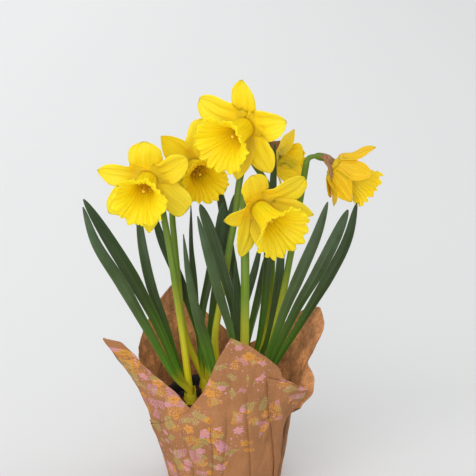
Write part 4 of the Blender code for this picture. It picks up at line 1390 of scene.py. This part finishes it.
def build_pot(material):
    """The moulded pot: a thin tapered wall with a rounded rim band."""
    inner_base = POT_BASE_R - POT_WALL
    band_r = POT_RIM_R - RIM_LIP
    inner_r = band_r - POT_WALL
    band_z = POT_HEIGHT - RIM_BAND
    outline = [
        (1, POT_FLOOR_Z), (POT_BASE_R - 2, POT_FLOOR_Z), (POT_BASE_R, POT_FLOOR_Z + 2),
        (band_r - RIM_STEP, band_z), (POT_RIM_R - RIM_ROUND, band_z), (POT_RIM_R, band_z + RIM_ROUND),
        (POT_RIM_R, POT_HEIGHT - RIM_ROUND), (POT_RIM_R - RIM_ROUND, POT_HEIGHT),
        (inner_r + RIM_ROUND, POT_HEIGHT), (inner_r, POT_HEIGHT - RIM_ROUND),
        (inner_r - RIM_STEP, band_z - POT_WALL), (inner_base, POT_FLOOR_Z + POT_WALL),
        (1, POT_FLOOR_Z + POT_WALL),
    ]
    corners = len(outline)

    def point(angle, t):
        r, z = outline[round(t * corners) % corners]
        return at(r, angle, z)

    bm = bmesh.new()
    add_tube(bm, POT_SIDES, corners, point)
    piece = fine_object("pot", closed(bm), [material])
    piece.data.set_sharp_from_angle(angle=math.radians(40))


# Paper wrap


def wrap_edge(bearing):
    """Distance from the axis and height of the wrap's upper edge at a bearing in degrees."""
    ring = WRAP_EDGE + [(WRAP_EDGE[0][0] + 360, *WRAP_EDGE[0][1:])]
    for (a, r0, z0), (b, r1, z1) in zip(ring, ring[1:]):
        if a <= bearing <= b:
            share = (bearing - a) / (b - a)
            return r0 + (r1 - r0) * share, z0 + (z1 - z0) * share
    raise ValueError(bearing)


def soft_edge(bearing):
    """The upper edge with its corners rounded a little."""
    near = [wrap_edge((bearing + d) % 360) for d in (-0.5, -0.25, 0, 0.25, 0.5)]
    return sum(r for r, _ in near) / 5, sum(z for _, z in near) / 5


def wrap_column(bearing, count):
    """Points up one column of the wrap, from its flat bottom's rim to its free edge."""
    turn = math.radians(bearing)
    pleat = PLEAT_DEPTH * math.sin(PLEATS * turn + 1.1 * math.sin(3 * turn))
    profile = [(WRAP_FLAT_R, 0, WRAP_FOOT_Z)]
    for i, (r, z) in enumerate(WRAP_BODY):
        rise = i / (len(WRAP_BODY) - 1)
        profile.append((r + pleat * eased(rise) - COLLAR_SHIFT * rise**2 * math.cos(turn), 0, z))
    collar_r, _, collar_z = profile[-1]
    edge_r, edge_z = soft_edge(bearing)
    for i in range(1, WRAP_FLARE_ROWS + 1):
        share = i / WRAP_FLARE_ROWS
        r = collar_r + (edge_r - collar_r) * share**1.35
        profile.append((r, 0, collar_z + (edge_z - collar_z) * share))
    return smooth_route(profile, count)


def fold_at(bearing, z):
    """How far the pleats' overlapping edges lift the paper, and how much painted shade darkens their crease
    and the tucked corner there.
    """
    lift, crease_shade = 0.0, 0.0
    for top, bottom, high, low, depth in FOLDS:
        share = (z - low) / (high - low)
        line = bottom + (top - bottom) * share + 1.2 * math.sin(z / 17 + top)
        past = (bearing - line + 180) % 360 - 180
        strength = depth * eased(share * 3) * eased((1.15 - share) * 4)
        if past > -FOLD_WIDTH:
            edge = eased((past + FOLD_WIDTH) / (2 * FOLD_WIDTH))
            lift += strength * edge * max(0.0, 1 - max(0.0, past) / FOLD_RUN)
        before = past + FOLD_WIDTH
        fade = math.exp(before / CREASE_SHADE_RUN) if before < 0 else math.exp(-((before / FOLD_WIDTH) ** 2))
        crease_shade = max(crease_shade, strength / 2 * fade)
    tucked = eased((bearing - TUCK_FROM) / 5) * eased((TUCK_TO - bearing) / 8 + 1)
    tucked *= eased((TUCK_TOP_Z - z) / 14)
    # The tucked corner gets painted shade on top of its real groove
    return lift - TUCK_DEPTH * tucked, min(1.0, crease_shade + TUCK_PAINTED_SHADE * tucked)


def paper_point(place, bearing, share, crumple):
    """A point of the paper with its dents and folds: its distance and height, and how much painted shade a
    crease gets.
    """
    r, _, z = place
    turn = math.radians(bearing)
    x, y = r * math.cos(turn), r * math.sin(turn)
    dents = wander(x / 16, y / 16, z / 30) + 0.5 * wander(x / 6, y / 6, z / 12)
    dents += 1.2 * (0.25 - abs(wander(x / 13, y / 13, z / 22 + 5)))
    lift, crease_shade = fold_at(bearing, z)
    r += (crumple * dents * (0.6 + share) + lift) * eased(share / 0.15)
    z += 1.2 * wander(math.cos(turn) * 6, math.sin(turn) * 6, 4) * eased((share - 0.6) / 0.4)
    return r, z, crease_shade


def add_paper(bm, across, up, place):
    """Adds a grid of paper and returns its points.

    place(column, row) gives a point, the painted shade of a crease there, and the bearing, the share of its
    column and the column's height that set its place in the print, with how far that is moved up.
    """
    bm.loops.layers.uv.verify()
    crease_shade_layer = bm.verts.layers.float.new("crease_shade")
    made = bmesh.ops.create_grid(bm, x_segments=across, y_segments=up, size=1, calc_uvs=True)["verts"]
    prints = {}
    for vert in made:
        spot = round((vert.co.x + 1) / 2 * across), round((vert.co.y + 1) / 2 * up)
        vert.co, vert[crease_shade_layer], (bearing, share, height, shift) = place(*spot)
        prints[spot] = PRINT_ROUND * bearing / 360, PRINT_RISE * share * height + shift
    uv_layer = bm.loops.layers.uv.active
    for face in bm.faces:
        for loop in face.loops:
            u, v = loop[uv_layer].uv
            loop[uv_layer].uv = prints[round(u * across), round(v * up)]
    return made


def along_line(line, place):
    """The value at a place on a broken line of (place, value) points."""
    if place <= line[0][0]:
        return line[0][1]
    for (a, low), (b, high) in zip(line, line[1:]):
        if place <= b:
            return low + (high - low) * (place - a) / (b - a)
    return line[-1][1]


def build_layer(name, layer, s, outside, inside):
    """A layer of the paper that is folded over the rest, whose upper and left edges stand off it."""

    def place(column, row):
        u, v = column / LAYER_GRID, row / LAYER_GRID

        def bearings_at(height):
            """The bearing of the layer's left edge at a height, and that of this column there."""
            start = along_line(layer.left, height)
            return start, start + (layer.right - start) * u

        top_z = layer.top[0][1]
        for _ in range(6):
            _, bearing = bearings_at(top_z)
            top_z = min(along_line(layer.top, bearing), soft_edge(bearing)[1] - 0.3)
        z = layer.low + (top_z - layer.low) * v
        start, bearing = bearings_at(z)
        route = wrap_column(bearing, LAYER_ROWS)
        k = next(i for i, p in enumerate(route) if p.z >= z)
        part = (z - route[k - 1].z) / (route[k].z - route[k - 1].z)
        share = (k - 1 + part) / LAYER_ROWS
        r, z, crease_shade = paper_point(route[k - 1].lerp(route[k], part), bearing, share, s.crumple / MM)
        edge = layer.lift * max(math.exp((start - bearing) / 3) * layer.curl, v**6)
        under = max(eased((0.2 - v) / 0.2), eased((0.12 - u) / 0.12)) * layer.sunk
        gone = max(eased((u - 0.85) / 0.15), under)
        r += (LAYER_GAP + edge) * (1 - gone) - LAYER_GAP * gone
        # The layer gets half of the painted crease shade
        return at(r, math.radians(bearing), z), crease_shade * 0.5, (bearing, share, route[-1].z, layer.print_shift)

    bm = bmesh.new()
    add_paper(bm, LAYER_GRID, LAYER_GRID, place)
    new_object(name, bm, [outside, inside], s.thickness)


def build_wrap(s, outside, inside):
    """The sheet of paper under the pot and up round it, with folded pleats and standing corners."""
    bearings = [0.0]
    while bearings[-1] < 360:
        near = FRONT_FROM <= bearings[-1] < FRONT_TO
        bearings.append(bearings[-1] + (0.5 if near else 1.0))
    routes = [wrap_column(bearing % 360, WRAP_ROWS) for bearing in bearings]

    def place(column, row):
        bearing, route, t = bearings[column], routes[column], row / WRAP_ROWS
        r, z, crease_shade = paper_point(route[row], bearing % 360, t, s.crumple / MM)
        return at(r, math.radians(bearing % 360), z), crease_shade, (bearing, t, route[-1].z, 0.0)

    bm = bmesh.new()
    made = add_paper(bm, len(bearings) - 1, WRAP_ROWS, place)
    bmesh.ops.remove_doubles(bm, verts=made, dist=JOIN)
    bottom = [e for e in bm.edges if e.is_boundary and max(v.co.z for v in e.verts) < 1]
    floor = bmesh.ops.edgeloop_fill(bm, edges=bottom)["faces"]
    bmesh.ops.inset_region(bm, faces=floor, thickness=1.0)
    fine_object("paper_wrap", closed(bm), [outside, inside], s.thickness)


# Operators


class DAFFODIL_OT_flowers(bpy.types.Operator):
    """Build the petals, trumpets and stamens of every flower"""

    bl_idname = "daffodil.flowers"
    bl_label = "Flowers"

    def execute(self, context):
        s = context.scene.daffodil_flowers
        petal, base = tuple(s.petal_colour), tuple(s.petal_base_colour)
        mouth, throat = tuple(s.trumpet_colour), tuple(s.throat_colour)
        petals = petal_material("daffodil_petal", s, [(0.0, base), (0.35, petal)], 24.0, 0.001, 0.75, 0.08)
        outside = petal_material("daffodil_trumpet", s, [(0.0, mouth), (1.0, mouth)], 70.0, 0.002, 0.9, 0.08)
        inner_stops = [(0.06, throat), (0.2, mouth), (1.0, mouth)]
        inside = petal_material("daffodil_trumpet_inside", s, inner_stops, 90.0, 0.0012, 0.95, 0.12)
        pollen = pollen_material("daffodil_anther", tuple(s.anther_colour))
        for name, flower in FLOWERS.items():
            build_petals(name, flower, s, petals)
            build_trumpet(name, flower, s, outside, inside)
            build_stamens(name, flower, pollen)
        return {"FINISHED"}


class DAFFODIL_OT_stems(bpy.types.Operator):
    """Build the flower stems with their ovaries and dry sheaths"""

    bl_idname = "daffodil.stems"
    bl_label = "Stems"

    def execute(self, context):
        s = context.scene.daffodil_leaves
        stem, low, foot = tuple(s.stem_colour), tuple(s.stem_base_colour), tuple(s.foot_colour)
        stops = [(0.0, foot), (0.12, foot), (0.26, low), (0.5, stem), (0.85, stem), (1.0, scaled(stem, 0.8))]
        stems = leaf_material("daffodil_stem", s, stops, scaled(stem, 1.15))
        sheath = sheath_material("daffodil_sheath", tuple(context.scene.daffodil_flowers.spathe_colour))
        for name, flower in FLOWERS.items():
            build_stem(name, flower, stems)
            build_spathe(name, flower, sheath)
        return {"FINISHED"}


class DAFFODIL_OT_leaves(bpy.types.Operator):
    """Build the strap leaves"""

    bl_idname = "daffodil.leaves"
    bl_label = "Leaves"

    def execute(self, context):
        s = context.scene.daffodil_leaves
        leaf, tip, base, foot = map(tuple, (s.leaf_colour, s.tip_colour, s.base_colour, s.foot_colour))
        stops = [(0.0, foot), (0.05, foot), (0.17, base), (0.5, leaf), (0.9, tip)]
        leaves = leaf_material("daffodil_leaf", s, stops, tuple(s.leaf_rim_highlight_colour), painted_half_shade=-0.2)
        for name, shape in LEAVES.items():
            build_leaf(name, shape, s, leaves)
        return {"FINISHED"}


class DAFFODIL_OT_bulbs(bpy.types.Operator):
    """Build the bulbs and the pale sheaths at their necks"""

    bl_idname = "daffodil.bulbs"
    bl_label = "Bulbs"

    def execute(self, context):
        s = context.scene.daffodil_leaves
        skin = sheath_material("bulb_skin", tuple(s.skin_colour))
        foot = tuple(s.foot_colour)
        neck = leaf_material("neck_skin", s, [(0.0, scaled(foot, 1.1)), (1.0, foot)], foot)
        for name, centre in BULBS.items():
            build_bulb(name, centre, skin, neck)
        return {"FINISHED"}


class DAFFODIL_OT_pot(bpy.types.Operator):
    """Build the nursery pot and its soil"""

    bl_idname = "daffodil.pot"
    bl_label = "Pot and soil"

    def execute(self, context):
        s = context.scene.daffodil_pot
        build_pot(moulded_material("moulded_plastic", tuple(s.pot_colour)))
        soil = soil_material("potting_mix", tuple(s.soil_colour))
        build_soil(soil)
        scatter("soil_crumbs", s.crumbs, s.crumb_size, SEED, soil)
        perlite, _, _ = new_material("perlite", Roughness=0.9, Base_Color=(*linear("#D8D4CA"), 1))
        scatter("soil_perlite", s.perlite, s.crumb_size * 0.6, SEED + 1, perlite, flat=0.8)
        return {"FINISHED"}


class DAFFODIL_OT_wrap(bpy.types.Operator):
    """Build the printed paper wrap"""

    bl_idname = "daffodil.wrap"
    bl_label = "Paper wrap"

    def execute(self, context):
        s = context.scene.daffodil_wrap
        outside, inside = kraft_material("kraft_printed", s), kraft_inside_material("kraft_inside", s)
        build_wrap(s, outside, inside)
        for name, layer in LAYERS.items():
            build_layer(name, layer, s, outside, inside)
        return {"FINISHED"}


class DAFFODIL_OT_stage(bpy.types.Operator):
    """Build the studio floor, the lights and the camera"""

    bl_idname = "daffodil.stage"
    bl_label = "Stage"

    def execute(self, context):
        scene = context.scene
        s = scene.daffodil_stage

        def placed(name, data):
            made = bpy.data.objects.new(name, data)
            scene.collection.objects.link(made)
            return made

        def look(made, direction):
            made.rotation_euler = Vector(direction).to_track_quat("-Z", "Y").to_euler()

        bm = bmesh.new()
        bmesh.ops.create_circle(bm, cap_ends=True, radius=FLOOR_R, segments=96)
        mesh = bpy.data.meshes.new("floor")
        bm.to_mesh(mesh)
        bm.free()
        mesh.materials.append(floor_material("studio_floor", tuple(s.floor_colour)))
        placed("floor", mesh)
        for name, direction, share, angle in LAMPS:
            lamp = bpy.data.lights.new(name, "SUN")
            lamp.energy = share * s.key_strength
            lamp.angle = math.radians(angle)
            look(placed(name, lamp), direction)
        world = bpy.data.worlds.new("studio")
        world.use_nodes = True
        sky = world.node_tree.nodes["Background"].inputs
        sky["Color"].default_value = (*linear("#F4F5F6"), 1)
        sky["Strength"].default_value = s.fill_strength
        scene.world = world
        scene.view_settings.view_transform = "Standard"
        lens = bpy.data.cameras.new("camera")
        lens.lens = CAMERA_LENS
        lens.sensor_width = CAMERA_SENSOR
        camera = placed("camera", lens)
        camera.location = CAMERA_PLACE
        look(camera, Vector(CAMERA_AIM) - camera.location)
        scene.camera = camera
        return {"FINISHED"}


class DAFFODIL_PT_panel(bpy.types.Panel):
    bl_label = "Potted daffodil"
    bl_idname = "DAFFODIL_PT_panel"
    bl_space_type = "VIEW_3D"
    bl_region_type = "UI"
    bl_category = "Daffodil"

    def draw(self, context):
        for operator in OPERATORS:
            self.layout.operator(operator.bl_idname)
        for attribute_name, group in SETTINGS.items():
            box = self.layout.box()
            for key in group.__annotations__:
                box.prop(getattr(context.scene, attribute_name), key)


SETTINGS = {
    "daffodil_flowers": DaffodilFlowerSettings,
    "daffodil_leaves": DaffodilLeafSettings,
    "daffodil_pot": DaffodilPotSettings,
    "daffodil_wrap": DaffodilWrapSettings,
    "daffodil_stage": DaffodilStageSettings,
}
OPERATORS = (
    DAFFODIL_OT_stage, DAFFODIL_OT_pot, DAFFODIL_OT_bulbs, DAFFODIL_OT_wrap, DAFFODIL_OT_leaves,
    DAFFODIL_OT_stems, DAFFODIL_OT_flowers,
)
CLASSES = (*SETTINGS.values(), *OPERATORS, DAFFODIL_PT_panel)


def register():
    for cls in CLASSES:
        bpy.utils.register_class(cls)
    for attribute_name, group in SETTINGS.items():
        setattr(bpy.types.Scene, attribute_name, bpy.props.PointerProperty(type=group))


def unregister():
    for attribute_name in SETTINGS:
        delattr(bpy.types.Scene, attribute_name)
    for cls in reversed(CLASSES):
        bpy.utils.unregister_class(cls)


def main():
    register()
    bpy.ops.daffodil.stage()
    bpy.ops.daffodil.pot()
    bpy.ops.daffodil.bulbs()
    bpy.ops.daffodil.wrap()
    bpy.ops.daffodil.leaves()
    bpy.ops.daffodil.stems()
    bpy.ops.daffodil.flowers()


if __name__ == "__main__":
    main()
